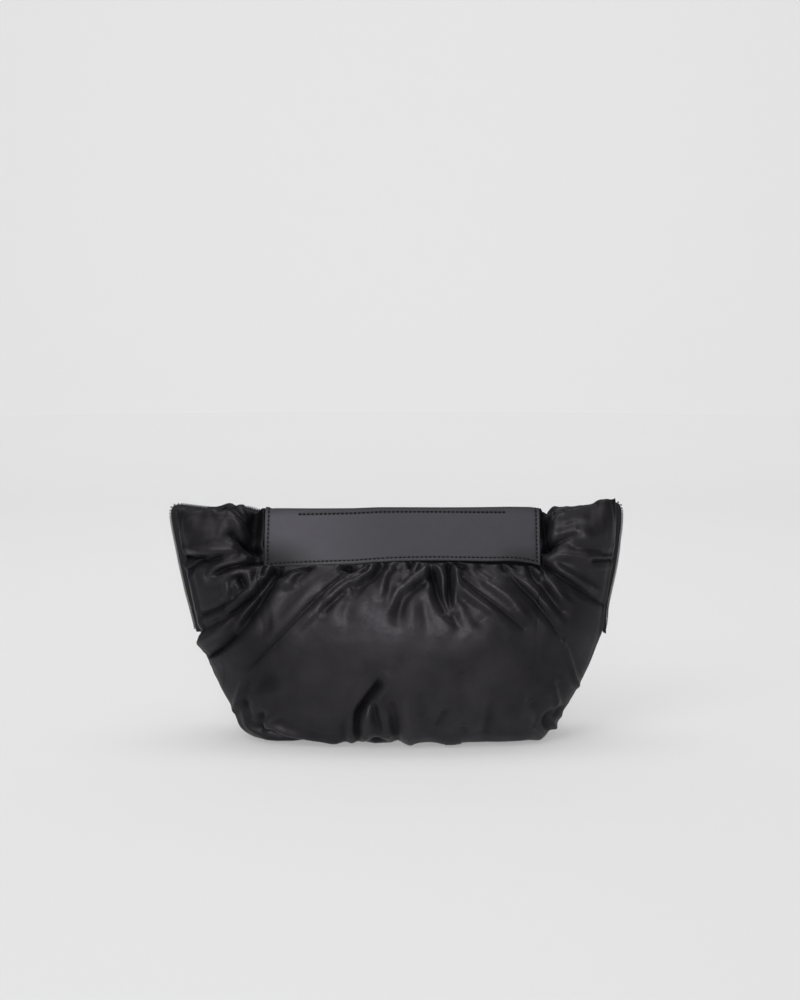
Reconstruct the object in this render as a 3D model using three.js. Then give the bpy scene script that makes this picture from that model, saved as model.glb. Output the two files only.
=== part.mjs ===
// A gathered satin clutch bag that stands by itself, as an assembly of its sewn pieces: two padded
// panels, the zip that runs over the mouth and down both sides, the gusset round the base, the zip's
// slider, and a leather panel on each face of the mouth.
// Millimetres, +Z up, front towards -Y. The origin is on the floor below the middle of the bag.
import * as THREE from "three";

// Sizes of the bag
const bagWidth = 380; // over the zip at the upper corners
const bagHeight = 196; // from the floor to the top of the satin under the leather
const bagDepth = 124; // from the front of the belly to the back, before the satin swells
const wallThickness = 5; // satin, wadding and lining together
const seamGap = 17; // between the edges of the two panels, closed by the zip and the gusset
const backSag = 3; // how much lower the back of the mouth sits than the front
const clearance = 0.3; // between pieces that are sewn together

// Leather panels
const leatherWidth = 225;
const leatherShift = 4; // the leather's middle is this far right of the bag's
const leatherHeight = 53; // along the leather, from its edge beside the zip to its lower edge
const leatherTuck = 2.5; // from the panel's seam to the leather's edge beside the zip
const leatherThickness = 2.4;
const leatherSink = 2; // how far the satin is pressed in under the leather

// Zip and gusset
const tapeThickness = 1.2;
const zipCrown = 4; // how far the middle of the zip stands out from the seams
const zipEnd = 0.54; // how far down the side seams the zip ends, as a share of the seam
const coilWidth = 5;
const coilHeight = 2;
const gussetThickness = 1.5;
const gussetCrown = 3;
const endGap = 0.012; // between the zip and the gusset, as a share of the side seam
const sliderLength = 12;
const sliderWidth = 8;
const sliderHeight = 1.8;
const sliderLift = 0.7; // off the coil, which curves away under it
const pullLength = 15; // from the slider's upper end
const pullThickness = 1.1;

const halfWidth = bagWidth / 2;
const halfDepth = bagDepth / 2;
const rim = seamGap / 2;

// Facets of the panels and the leather
const panelColumns = 52;
const panelRows = 36;
const liningColumns = 18;
const liningRows = 16;
const leatherColumns = 16;
const leatherRows = 9;

// Levels of a panel from the zip (down 0) to the seam under the base (down 1). Heights are shares of
// bagHeight, reaches of half the width and depths of half the depth. roll is how much the leather's
// rolled top adds to the height, wing is the extra depth of the upper corners, square the fullness of
// the level's plan, and flat how late the level leaves the middle's height for that of the seams.
const LEVELS = {
  columns: [
    "down", "leftHeight", "rightHeight", "leftReach", "rightReach",
    "middleHeight", "roll", "depth", "wing", "square", "flat",
  ],
  rows: [
    [0.0, 0.987, 1.014, 0.948, 0.952, 0.956, 0.0, 0.137, 0.0, 1.6, 5],
    [0.015, 0.979, 1.005, 0.958, 0.96, 0.955, 0.019, 0.145, 0.05, 1.6, 5],
    [0.03, 0.968, 0.992, 0.962, 0.964, 0.954, 0.032, 0.163, 0.08, 1.6, 4],
    [0.045, 0.957, 0.98, 0.962, 0.965, 0.948, 0.042, 0.2, 0.1, 1.6, 4],
    [0.06, 0.945, 0.966, 0.961, 0.965, 0.94, 0.043, 0.255, 0.12, 1.6, 4],
    [0.08, 0.93, 0.95, 0.958, 0.964, 0.925, 0.04, 0.305, 0.14, 1.6, 3],
    [0.12, 0.9, 0.92, 0.952, 0.963, 0.897, 0.031, 0.395, 0.18, 1.6, 3],
    [0.17, 0.858, 0.875, 0.943, 0.957, 0.868, 0.018, 0.49, 0.2, 1.6, 3],
    [0.22, 0.81, 0.825, 0.934, 0.953, 0.838, 0.007, 0.58, 0.19, 1.65, 3],
    [0.27, 0.76, 0.773, 0.925, 0.946, 0.798, 0.0, 0.665, 0.17, 1.75, 3],
    [0.32, 0.71, 0.72, 0.914, 0.937, 0.748, 0.0, 0.75, 0.13, 1.9, 3],
    [0.38, 0.648, 0.655, 0.901, 0.923, 0.684, 0.0, 0.83, 0.1, 2.1, 3],
    [0.45, 0.571, 0.577, 0.881, 0.908, 0.592, 0.0, 0.905, 0.06, 2.3, 3],
    [0.52, 0.49, 0.495, 0.862, 0.901, 0.49, 0.0, 0.945, 0.03, 2.5, 3],
    [0.59, 0.408, 0.413, 0.847, 0.878, 0.385, 0.0, 0.955, 0.01, 2.6, 3],
    [0.66, 0.332, 0.337, 0.815, 0.85, 0.28, 0.0, 0.935, 0.0, 2.7, 3],
    [0.73, 0.255, 0.27, 0.782, 0.815, 0.18, 0.0, 0.865, 0.0, 2.8, 4],
    [0.79, 0.194, 0.219, 0.74, 0.785, 0.097, 0.0, 0.755, 0.0, 2.9, 5],
    [0.84, 0.143, 0.184, 0.715, 0.772, 0.037, 0.0, 0.625, 0.0, 3.0, 6],
    [0.87, 0.117, 0.163, 0.71, 0.758, 0.007, 0.0, 0.52, 0.0, 3.2, 7],
    [0.93, 0.087, 0.138, 0.703, 0.74, 0.0, 0.0, 0.31, 0.0, 4.0, 8],
    [1.0, 0.061, 0.112, 0.695, 0.718, 0.0, 0.0, 0.137, 0.0, 5.0, 8],
  ],
};
const levelRoundness = 0.75; // how soon a level's plan rounds off beside the seams
const rollEnd = 9; // how far past the leather its rolled top dies away
const wingStart = 0.66; // where the corners' extra depth begins, as a share of the reach
const viewTilt = THREE.MathUtils.degToRad(11); // folds are drawn as seen from this height

// Main folds of a panel, drawn as seen from the front: x as a share of half the width, up as a share
// of bagHeight, from one end to the other with a bow to the left of the way. breadth and the two
// heights are shares of bagHeight too. A fold with negative heights is a valley, and lean makes one
// flank broader.
const FOLDS = {
  columns: ["x1", "up1", "x2", "up2", "bow", "breadth", "height1", "height2", "lean"],
  rows: [
    // left corner
    [-0.78, 0.93, -0.64, 0.77, 0.0, 0.044, -0.022, -0.012, 0.0],
    [-0.95, 0.76, -0.78, 0.76, 0.03, 0.037, -0.024, -0.008, 0.0],
    [-0.83, 0.69, -0.61, 0.73, -0.02, 0.044, -0.022, -0.02, 0.0],
    [-0.89, 0.52, -0.68, 0.63, 0.02, 0.037, -0.03, -0.01, 0.0],
    // ridges and valleys from the leather's lower left corner
    [-0.59, 0.69, -0.8, 0.54, -0.01, 0.042, 0.024, 0.01, 0.0],
    [-0.62, 0.6, -0.8, 0.44, 0.0, 0.042, -0.022, -0.012, 0.0],
    [-0.56, 0.63, -0.83, 0.34, -0.04, 0.042, 0.018, 0.012, 0.0],
    [-0.5, 0.62, -0.36, 0.66, 0.03, 0.044, 0.016, 0.008, 0.0],
    // gathers below the leather
    [-0.13, 0.72, -0.65, 0.3, -0.02, 0.034, -0.018, -0.006, 0.2],
    [-0.2, 0.7, -0.45, 0.5, -0.02, 0.062, 0.016, 0.0, 0.0],
    [0.05, 0.71, -0.3, 0.52, -0.02, 0.056, 0.018, 0.0, 0.0],
    [0.11, 0.73, 0.0, 0.62, 0.0, 0.034, -0.016, 0.0, 0.0],
    [0.15, 0.71, 0.21, 0.52, -0.04, 0.037, 0.02, 0.008, 0.0],
    [0.21, 0.72, 0.21, 0.52, 0.0, 0.037, -0.036, -0.012, 0.0],
    [0.27, 0.7, 0.5, 0.52, 0.02, 0.044, 0.022, 0.006, 0.0],
    [0.25, 0.72, 0.48, 0.52, 0.03, 0.034, -0.02, -0.008, 0.0],
    [0.44, 0.72, 0.69, 0.46, 0.0, 0.034, -0.02, -0.01, 0.0],
    [0.52, 0.72, 0.56, 0.67, 0.0, 0.037, -0.024, 0.0, 0.0],
    [0.6, 0.72, 0.88, 0.56, 0.02, 0.035, -0.022, -0.012, 0.0],
    // right corner
    [0.7, 0.92, 0.66, 0.88, 0.0, 0.037, -0.026, -0.01, 0.0],
    [0.61, 0.77, 0.76, 0.85, 0.02, 0.044, -0.024, -0.008, 0.0],
    [0.84, 0.75, 0.96, 0.75, 0.0, 0.034, -0.02, -0.018, 0.0],
    [0.71, 0.54, 0.78, 0.22, 0.02, 0.037, 0.012, 0.014, 0.0],
    // folds at the base
    [-0.13, 0.25, -0.25, 0.02, 0.03, 0.037, -0.02, -0.02, 0.0],
    [-0.1, 0.24, -0.22, -0.02, 0.03, 0.034, 0.014, 0.02, 0.0],
    [-0.1, 0.23, -0.19, -0.03, 0.02, 0.034, -0.026, -0.036, 0.0],
    [-0.03, 0.15, 0.0, -0.02, 0.0, 0.037, -0.012, -0.026, 0.0],
    [0.26, 0.28, 0.28, 0.13, 0.0, 0.05, -0.014, -0.014, 0.0],
    [0.22, 0.12, 0.15, 0.03, 0.0, 0.044, -0.016, -0.02, 0.0],
    [-0.57, 0.1, -0.52, 0.0, -0.04, 0.037, 0.014, 0.018, 0.0],
    [0.5, 0.19, 0.6, 0.11, 0.0, 0.044, -0.014, -0.014, 0.0],
  ],
};
const puffHeight = 5; // how far the satin swells beside the leather
const puffReach = 14; // how far from the leather it takes to swell
const gatherCount = 15; // small gathers along the leather's lower edge
const gatherHeight = 1.8;
const gatherLength = 17;

// A table's columns at any place between its rows, on a smooth curve through them.
function smoothTable({ columns, rows }) {
  const places = rows.map((row) => row[0]);
  const values = rows.flat();
  const curve = new THREE.CubicInterpolant(places, values, columns.length);
  return (place) => {
    const found = curve.evaluate(THREE.MathUtils.clamp(place, 0, 1));
    return Object.fromEntries(columns.map((name, i) => [name, found[i]]));
  };
}
const levelAt = smoothTable(LEVELS);

// The front panel's plain surface. across runs from -1 at the left seam to 1 at the right one.
function panelPoint(across, down) {
  const level = levelAt(down);
  const x = alongLevel(level, across, 0);
  const rolled = 1 - THREE.MathUtils.smoothstep(besideLeather(x), 0, rollEnd);
  const height = levelHeight(level, across) + level.roll * rolled;
  return new THREE.Vector3(x, -levelDepth(level, across), Math.max(height, 0) * bagHeight);
}

// The lining inside the panel: the plain surface drawn in by the wall, without the rolled top.
function liningPoint(across, down) {
  const level = levelAt(down);
  return new THREE.Vector3(
    alongLevel(level, across, wallThickness),
    -Math.max(levelDepth(level, across) - wallThickness, rim),
    THREE.MathUtils.lerp(wallThickness, bagHeight - wallThickness, levelHeight(level, across)),
  );
}

function alongLevel(level, across, inset) {
  const left = inset - level.leftReach * halfWidth;
  const right = level.rightReach * halfWidth - inset;
  return THREE.MathUtils.lerp(left, right, (across + 1) / 2);
}

function levelHeight(level, across) {
  const sideHeight = across < 0 ? level.leftHeight : level.rightHeight;
  const share = Math.abs(across) ** level.flat;
  return Math.max(THREE.MathUtils.lerp(level.middleHeight, sideHeight, share), 0);
}

function levelDepth(level, across) {
  const side = Math.abs(across);
  const lens = (1 - side ** level.square) ** levelRoundness;
  const corner = THREE.MathUtils.clamp((side - wingStart) / (1 - wingStart), 0, 1);
  const wing = level.wing * halfDepth * Math.sin(Math.PI * corner);
  return Math.max(rim, THREE.MathUtils.lerp(rim, level.depth * halfDepth, lens) + wing);
}

// How far a place along the bag lies past the leather's sides.
function besideLeather(x) {
  return Math.max(Math.abs(x - leatherShift) - leatherWidth / 2, 0);
}

// Where a place on the panel at a given x lies between its two seams.
function acrossAt(x, down) {
  const level = levelAt(down);
  const left = -level.leftReach * halfWidth;
  const right = level.rightReach * halfWidth;
  return (2 * (x - left)) / (right - left) - 1;
}

// The panel's outward direction.
function panelNormal(across, down) {
  const step = 0.004;
  const a = THREE.MathUtils.clamp(across, -1 + step, 1 - step);
  const d = THREE.MathUtils.clamp(down, step, 1 - step);
  const alongAcross = panelPoint(a + step, d).sub(panelPoint(a - step, d));
  const alongDown = panelPoint(a, d + step).sub(panelPoint(a, d - step));
  return alongDown.cross(alongAcross).normalize();
}

// The folds in millimetres, each with its way sampled along a bowed line. mirrored turns them left
// to right.
function foldLines(mirrored) {
  return FOLDS.rows.map((row) => {
    const fold = Object.fromEntries(FOLDS.columns.map((name, i) => [name, row[i]]));
    const turn = mirrored ? -1 : 1;
    const start = new THREE.Vector2(turn * fold.x1 * halfWidth, fold.up1 * bagHeight);
    const end = new THREE.Vector2(turn * fold.x2 * halfWidth, fold.up2 * bagHeight);
    const way = end.clone().sub(start);
    const sideways = new THREE.Vector2(-way.y, way.x).normalize();
    const bowed = 2 * turn * fold.bow * bagHeight;
    const middle = start.clone().lerp(end, 0.5).addScaledVector(sideways, bowed);
    const points = new THREE.QuadraticBezierCurve(start, middle, end).getPoints(6);
    return { ...fold, lean: turn * fold.lean, points, breadth: fold.breadth * bagHeight };
  });
}

// How far a fold lifts or sinks the satin at a point of the front view.
function foldHeight(fold, seen) {
  let best = { distance: Infinity, share: 0, side: 1 };
  fold.points.slice(1).forEach((end, i) => {
    const start = fold.points[i];
    const way = end.clone().sub(start);
    const reach = seen.clone().sub(start);
    const along = THREE.MathUtils.clamp(reach.dot(way) / way.lengthSq(), 0, 1);
    const distance = reach.addScaledVector(way, -along).length();
    const share = (i + along) / (fold.points.length - 1);
    if (distance < best.distance) best = { distance, share, side: Math.sign(way.cross(reach)) };
  });
  const breadth = fold.breadth * (1 + best.side * fold.lean);
  const height = THREE.MathUtils.lerp(fold.height1, fold.height2, best.share) * bagHeight;
  return height * Math.exp(-((best.distance / breadth) ** 2));
}

// How far the satin stands off the plain surface. slope is the distance down the panel from the zip.
function satinLift(point, slope, folds) {
  const beside = besideLeather(point.x);
  const below = Math.max(slope - leatherTuck - leatherHeight, 0);
  const away = Math.hypot(beside, below);
  if (away === 0) return -leatherSink;
  const swell = 1 - Math.exp(-away / puffReach);
  const baseFade = THREE.MathUtils.smoothstep(point.z, -2, 8);
  const rimFade = THREE.MathUtils.smoothstep(-point.y, rim, rim + 9);
  const seen = new THREE.Vector2(
    point.x,
    point.z * Math.cos(viewTilt) + point.y * Math.sin(viewTilt),
  );
  const folded = folds.reduce((sum, fold) => sum + foldHeight(fold, seen), 0);
  const ripple = Math.cos(((point.x - leatherShift) / leatherWidth) * gatherCount * 2 * Math.PI);
  const gather = beside === 0 ? gatherHeight * ripple * swell * Math.exp(-below / gatherLength) : 0;
  const loose = Math.max(folded + gather, -0.8 * wallThickness);
  const near = THREE.MathUtils.smoothstep(away, 0, 6);
  return -leatherSink * (1 - near) + (puffHeight * swell + near * loose) * baseFade * rimFade;
}

// A grid of points over a panel, row by row.
function panelGrid(columns, rows, place) {
  return Array.from({ length: rows + 1 }, (_, j) =>
    Array.from({ length: columns + 1 }, (_, i) => place((2 * i) / columns - 1, j / rows)),
  );
}

// The satin's outer surface with its swell and folds. Its edges stay on the plain surface.
function satinGrid(folds) {
  const plain = panelGrid(panelColumns, panelRows, (across, down) => ({
    across,
    down,
    point: panelPoint(across, down),
  }));
  return plain.map((row, j) =>
    row.map(({ across, down, point }, i) => {
      const edge = j === 0 || j === panelRows || i === 0 || i === panelColumns;
      if (edge) return point.clone();
      let slope = 0;
      for (let k = 1; k <= j; k += 1) slope += plain[k][i].point.distanceTo(plain[k - 1][i].point);
      const lift = satinLift(point, slope, folds);
      const lifted = point.clone().addScaledVector(panelNormal(across, down), lift);
      return new THREE.Vector3(lifted.x, Math.min(lifted.y, -rim), Math.max(lifted.z, 0));
    }),
  );
}

// Triangles collected from points, with a vertex shared wherever two points are the same object.
class Shell {
  constructor() {
    this.points = [];
    this.index = [];
    this.seen = new Map();
  }

  vertex(point) {
    if (!this.seen.has(point)) {
      this.seen.set(point, this.points.length);
      this.points.push(point);
    }
    return this.seen.get(point);
  }

  quad(a, b, c, d) {
    this.index.push(...[a, b, c, a, c, d].map((point) => this.vertex(point)));
  }

  // A surface between rows of points.
  surface(rows) {
    rows.slice(1).forEach((row, j) => {
      row.slice(1).forEach((point, i) => this.quad(rows[j][i], row[i], point, rows[j][i + 1]));
    });
  }

  // The rim between the edges of two surfaces, whose points along an edge may differ in number.
  rim(outer, inner) {
    const innerEdges = gridEdges(inner);
    gridEdges(outer).forEach((outerEdge, side) => {
      const innerEdge = innerEdges[side];
      const [lastOut, lastIn] = [outerEdge.length - 1, innerEdge.length - 1];
      let [i, j] = [0, 0];
      while (i < lastOut || j < lastIn) {
        const next = (i + 1) / lastOut <= (j + 1) / lastIn ? outerEdge[i + 1] : innerEdge[j + 1];
        this.index.push(...[outerEdge[i], next, innerEdge[j]].map((point) => this.vertex(point)));
        if (next === outerEdge[i + 1]) i += 1;
        else j += 1;
      }
    });
  }

  // The closed body with its faces turned outwards.
  geometry() {
    const made = new THREE.BufferGeometry().setFromPoints(this.points);
    const inward = this.volume() < 0;
    made.setIndex(inward ? [...this.index].reverse() : this.index);
    return made;
  }

  volume() {
    let sum = 0;
    for (let i = 0; i < this.index.length; i += 3) {
      const [a, b, c] = this.index.slice(i, i + 3).map((at) => this.points[at]);
      sum += a.dot(new THREE.Vector3().crossVectors(b, c)) / 6;
    }
    return sum;
  }
}

// The four edges of a grid, one after the other round it.
function gridEdges(rows) {
  const last = rows.length - 1;
  const width = rows[0].length - 1;
  return [
    rows[0],
    rows.map((row) => row[width]),
    [...rows[last]].reverse(),
    rows.map((row) => row[0]).reverse(),
  ];
}

// A sheet between two grids of points.
function sheet(outer, inner) {
  const shell = new Shell();
  shell.surface(outer);
  shell.surface(inner.map((row) => [...row].reverse()));
  shell.rim(outer, inner);
  return shell.geometry();
}

// A bar through rings of points, closed at both ends.
function bar(rings) {
  const shell = new Shell();
  shell.surface(rings.map((ring) => [...ring, ring[0]]));
  const [first, last] = [rings[0], rings[rings.length - 1]];
  first.slice(2).forEach((point, i) => {
    shell.index.push(...[first[0], first[i + 1], point].map((p) => shell.vertex(p)));
  });
  last.slice(2).forEach((point, i) => {
    shell.index.push(...[last[0], point, last[i + 1]].map((p) => shell.vertex(p)));
  });
  return shell.geometry();
}

// A padded panel between its satin and its lining, with a flat rim at the seams.
function padPanel(folds) {
  return sheet(satinGrid(folds), panelGrid(liningColumns, liningRows, liningPoint));
}

// How far down the panel a place lies that is a given way along the panel from the zip, at one x.
function downAt(x, slope) {
  const steps = 400;
  let walked = 0;
  let last = panelPoint(acrossAt(x, 0), 0);
  for (let k = 1; k <= steps; k += 1) {
    const point = panelPoint(acrossAt(x, k / steps), k / steps);
    const step = point.distanceTo(last);
    if (walked + step >= slope) return (k - 1 + (slope - walked) / step) / steps;
    walked += step;
    last = point;
  }
  return 1;
}

// The leather: a sheet that follows the panel from beside the zip, rolled over the top.
function leatherPanel() {
  const grid = (off) =>
    Array.from({ length: leatherRows + 1 }, (_, j) =>
      Array.from({ length: leatherColumns + 1 }, (_, i) => {
        const x = leatherShift + (i / leatherColumns - 0.5) * leatherWidth;
        const down = downAt(x, leatherTuck + (j / leatherRows) * leatherHeight);
        const across = acrossAt(x, down);
        return panelPoint(across, down).addScaledVector(panelNormal(across, down), off);
      }),
    );
  return sheet(grid(clearance + leatherThickness), grid(clearance));
}

// Places along the seams: up the left seam, over the mouth, down the right one, or round the base.
function seamWay(kind) {
  const overMouth = kind === "zip";
  const [far, near] = overMouth ? [zipEnd, 0] : [zipEnd + endGap, 1];
  const sideSteps = overMouth ? 11 : 9;
  const middleSteps = overMouth ? 26 : 16;
  const side = (across, from, to) =>
    Array.from({ length: sideSteps }, (_, i) =>
      panelPoint(across, THREE.MathUtils.lerp(from, to, i / sideSteps)),
    );
  const middle = Array.from({ length: middleSteps + 1 }, (_, i) =>
    panelPoint((2 * i) / middleSteps - 1, near),
  );
  return [...side(-1, far, near), ...middle, ...side(1, far, near).reverse()];
}

// The way out of the bag at each place of a seam, square to the seam.
function outward(way, i, kind) {
  const before = way[Math.max(i - 1, 0)];
  const after = way[Math.min(i + 1, way.length - 1)];
  const along = after.clone().sub(before);
  const turn = kind === "zip" ? 1 : -1;
  return new THREE.Vector3(-along.z * turn, 0, along.x * turn).normalize();
}

// A band from one panel's seam to the other's, arched outwards by crown.
function band(kind, thickness, crown) {
  const way = seamWay(kind);
  const halfBand = rim - clearance;
  const shares = [-1, 0, 1];
  const rings = way.map((place, i) => {
    const out = outward(way, i, kind);
    const arch = (share, off) =>
      new THREE.Vector3(place.x, share * halfBand, place.z).addScaledVector(
        out,
        crown(place) * (1 - share ** 2) - thickness + off,
      );
    return [
      ...shares.map((share) => arch(share, thickness)),
      ...[...shares].reverse().map((share) => arch(share, 0)),
    ];
  });
  return bar(rings);
}

function zipTape() {
  return band("zip", tapeThickness, () => zipCrown);
}

// The gusset arches out at the sides and lies flat under the base.
function baseGusset() {
  return band("gusset", gussetThickness, (place) => {
    return gussetCrown * THREE.MathUtils.smoothstep(place.z, 0, 0.2 * bagHeight);
  });
}

// The closed rows of teeth along the middle of the tape.
function zipCoil() {
  const way = seamWay("zip");
  const rings = way.map((place, i) => {
    const out = outward(way, i, "zip");
    const foot = new THREE.Vector3(place.x, 0, place.z).addScaledVector(out, zipCrown + clearance);
    const corner = (share, up) => {
      const point = foot.clone().addScaledVector(out, up * coilHeight);
      return point.setY((share * coilWidth) / 2);
    };
    return [corner(-1, 0), corner(-0.7, 1), corner(0.7, 1), corner(1, 0)];
  });
  return bar(rings);
}

// The closed zip's slider with its short pull, cut across the bag from one side outline. It runs down
// the coil to the zip's right end.
function zipSlider() {
  const outline = new THREE.Shape([
    new THREE.Vector2(0, 0),
    new THREE.Vector2(sliderLength, 0),
    new THREE.Vector2(sliderLength, sliderHeight - pullThickness),
    new THREE.Vector2(pullLength, sliderHeight - pullThickness),
    new THREE.Vector2(pullLength, sliderHeight),
    new THREE.Vector2(sliderLength, sliderHeight + pullThickness),
    new THREE.Vector2(pullThickness, sliderHeight + pullThickness),
    new THREE.Vector2(0, sliderHeight),
  ]);
  const cut = new THREE.ExtrudeGeometry(outline, { depth: sliderWidth, bevelEnabled: false });
  const way = seamWay("zip");
  const last = way.length - 1;
  const out = outward(way, last - 1, "zip");
  const across = new THREE.Vector3(0, -1, 0);
  const along = new THREE.Vector3().crossVectors(out, across);
  const foot = way[last]
    .clone()
    .setY(sliderWidth / 2)
    .addScaledVector(out, zipCrown + clearance + coilHeight + sliderLift)
    .addScaledVector(along, -sliderLength);
  const seat = new THREE.Matrix4().makeBasis(along, out, across);
  return cut.applyMatrix4(seat.setPosition(foot));
}

// Finishes
const satin = new THREE.MeshStandardMaterial({ color: 0x2b2b2e, roughness: 0.42, metalness: 0 });
const leather = new THREE.MeshStandardMaterial({ color: 0x3f3e43, roughness: 0.55, metalness: 0 });
const tape = new THREE.MeshStandardMaterial({ color: 0x222224, roughness: 0.8, metalness: 0 });
const teeth = new THREE.MeshStandardMaterial({ color: 0x161617, roughness: 0.4, metalness: 0 });
const metal = new THREE.MeshStandardMaterial({ color: 0x1c1c1e, roughness: 0.35, metalness: 0.8 });

function addMesh(group, name, geometry, material) {
  const mesh = new THREE.Mesh(geometry, material);
  mesh.name = name;
  group.add(mesh);
  return mesh;
}

// The back of the mouth sits lower than the front, and the zip between them slopes.
function sagged(geometry) {
  const places = geometry.attributes.position;
  for (let i = 0; i < places.count; i += 1) {
    const share = THREE.MathUtils.smoothstep(places.getY(i), -rim, rim);
    const high = (places.getZ(i) / bagHeight) ** 2;
    places.setZ(i, places.getZ(i) - backSag * share * high);
  }
  return geometry;
}

// The back is cut to the pattern of the front.
function turnedToBack(geometry) {
  const turned = geometry.clone().scale(1, -1, 1);
  turned.setIndex([...geometry.index.array].reverse());
  return turned;
}

const bag = new THREE.Group();
addMesh(bag, "front_panel", sagged(padPanel(foldLines(false))), satin);
addMesh(bag, "back_panel", sagged(turnedToBack(padPanel(foldLines(true)))), satin);
addMesh(bag, "leather_front", sagged(leatherPanel()), leather);
addMesh(bag, "leather_back", sagged(turnedToBack(leatherPanel())), leather);
addMesh(bag, "zip_tape", sagged(zipTape()), tape);
addMesh(bag, "zip_coil", sagged(zipCoil()), teeth);
addMesh(bag, "zip_slider", sagged(zipSlider()), metal);
addMesh(bag, "base_gusset", sagged(baseGusset()), satin);

export default bag;
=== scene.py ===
"""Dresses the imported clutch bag: gathered satin, leather, zip, gusset, floor and light."""

import logging
import math
from dataclasses import dataclass
from enum import Enum

import bmesh
import bpy
import numpy as np
from mathutils import Euler, Matrix, Vector


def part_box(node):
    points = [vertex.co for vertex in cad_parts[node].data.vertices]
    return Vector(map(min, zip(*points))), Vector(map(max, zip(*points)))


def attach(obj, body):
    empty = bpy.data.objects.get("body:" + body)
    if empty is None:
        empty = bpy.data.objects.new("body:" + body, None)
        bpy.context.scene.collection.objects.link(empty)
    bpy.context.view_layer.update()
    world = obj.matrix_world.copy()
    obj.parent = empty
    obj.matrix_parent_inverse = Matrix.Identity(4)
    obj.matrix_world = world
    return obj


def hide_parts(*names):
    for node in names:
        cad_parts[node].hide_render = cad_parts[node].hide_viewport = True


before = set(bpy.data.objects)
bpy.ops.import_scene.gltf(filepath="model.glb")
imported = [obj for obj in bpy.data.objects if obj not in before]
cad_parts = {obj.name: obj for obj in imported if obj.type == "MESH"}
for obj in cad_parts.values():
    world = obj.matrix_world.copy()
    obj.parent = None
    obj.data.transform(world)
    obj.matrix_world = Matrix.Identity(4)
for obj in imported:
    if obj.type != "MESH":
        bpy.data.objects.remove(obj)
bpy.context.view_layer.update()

MM = 0.001
LIP = 0.14  # how far the satin gives way beside a fold, as a share of the fold's height
FOLD_REACH = 4.2  # how far off its line a fold still shows, in breadths
SEED_STEP = 12  # between the seeds of the front's unevenness and the back's
PANEL_DROP = 280  # about how far it is down a panel from the zip to the base, in millimetres
BAND_HALF = 9.0  # half the breadth of the cloth in the zip's tape and in the gusset
BODY = "root"  # the bag's one body
LOG = logging.getLogger("clutch")


class Side(Enum):
    """The two faces of the bag, with the sign of y on each."""

    FRONT = -1
    BACK = 1

    @property
    def label(self) -> str:
        """The face's word in the names of its nodes and pieces."""
        return self.name.lower()

    @property
    def mirror(self) -> np.ndarray:
        """The turn of the front pattern that the face is cut with, left for right on the back."""
        return np.array([-float(self.value), 1.0, 1.0])

    def seed(self, front: int) -> int:
        """Give the face's own seed, from the front's."""
        return front if self is Side.FRONT else front + SEED_STEP


class SeamKind(Enum):
    """The two bands that close the gap between the panels."""

    ZIP = "zip"
    GUSSET = "gusset"


def smoothstep(value: np.ndarray, low: float, high: float) -> np.ndarray:
    """Rise smoothly from 0 at low to 1 at high.

    Args:
        value: Where to read the rise.
        low: The value at which it starts.
        high: The value at which it is complete.

    Returns:
        The rise at each value.
    """
    share = np.clip((value - low) / (high - low), 0.0, 1.0)
    return share * share * (3.0 - 2.0 * share)


def lerp(start: np.ndarray, end: np.ndarray, share: np.ndarray) -> np.ndarray:
    """Return the value a share of the way from start to end."""
    return start + (end - start) * share


def unit_rows(vectors: np.ndarray) -> np.ndarray:
    """Return vectors scaled to length 1 along their last axis."""
    return vectors / np.maximum(np.linalg.norm(vectors, axis=-1, keepdims=True), 1e-12)


def run_lengths(path: np.ndarray) -> np.ndarray:
    """Return the length walked to each point of a path, or of several side by side."""
    steps = np.cumsum(np.linalg.norm(np.diff(path, axis=-2), axis=-1), axis=-1)
    return np.concatenate([np.zeros((*steps.shape[:-1], 1)), steps], axis=-1)


def read_paths(
    places: np.ndarray, column: np.ndarray, before: np.ndarray, after: np.ndarray
) -> np.ndarray:
    """Turn places along paths from one measure into another.

    Args:
        places: The places, by the first measure.
        column: The path that each one lies on.
        before: The first measure at the points of each path.
        after: The second measure there.

    Returns:
        The places, by the second measure.
    """
    found = np.empty(len(places))
    for i in range(int(column.max()) + 1):
        here = column == i
        found[here] = np.interp(places[here], before[i], after[i])
    return found


@dataclass(frozen=True)
class SmoothTable:
    """A table whose columns are read at any place between its rows, on a smooth curve."""

    columns: tuple[str, ...]
    rows: tuple[tuple[float, ...], ...]

    def at(self, place: np.ndarray) -> dict[str, np.ndarray]:
        """Read every column.

        Args:
            place: Places along the first column, any shape.

        Returns:
            Each column's value at each place.
        """
        table = np.array(self.rows)
        knots = table[:, 0]
        last = len(knots) - 1
        place = np.clip(place, 0.0, 1.0)
        upper = np.clip(np.searchsorted(knots, place, side="right"), 1, last)
        lower = upper - 1
        before = np.where(lower > 0, lower - 1, upper)
        after = np.where(upper < last, upper + 1, lower)
        half = (knots[upper] - knots[lower]) / 2
        pull_before = half / (knots[lower] - knots[before])
        pull_after = half / (knots[after] - knots[upper])
        p = (place - knots[lower]) / (knots[upper] - knots[lower])
        p2, p3 = p * p, p * p * p
        bend = -1.5 - 2 * pull_before
        shares = (
            (before, -pull_before * p3 + 2 * pull_before * p2 - pull_before * p),
            (lower, (1 + pull_before) * p3 + bend * p2 + (pull_before - 0.5) * p + 1),
            (upper, (-1 - pull_after) * p3 + (1.5 + pull_after) * p2 + 0.5 * p),
            (after, pull_after * p3 - pull_after * p2),
        )
        return {
            name: sum(share * table[row, i] for row, share in shares)
            for i, name in enumerate(self.columns)
        }


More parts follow.
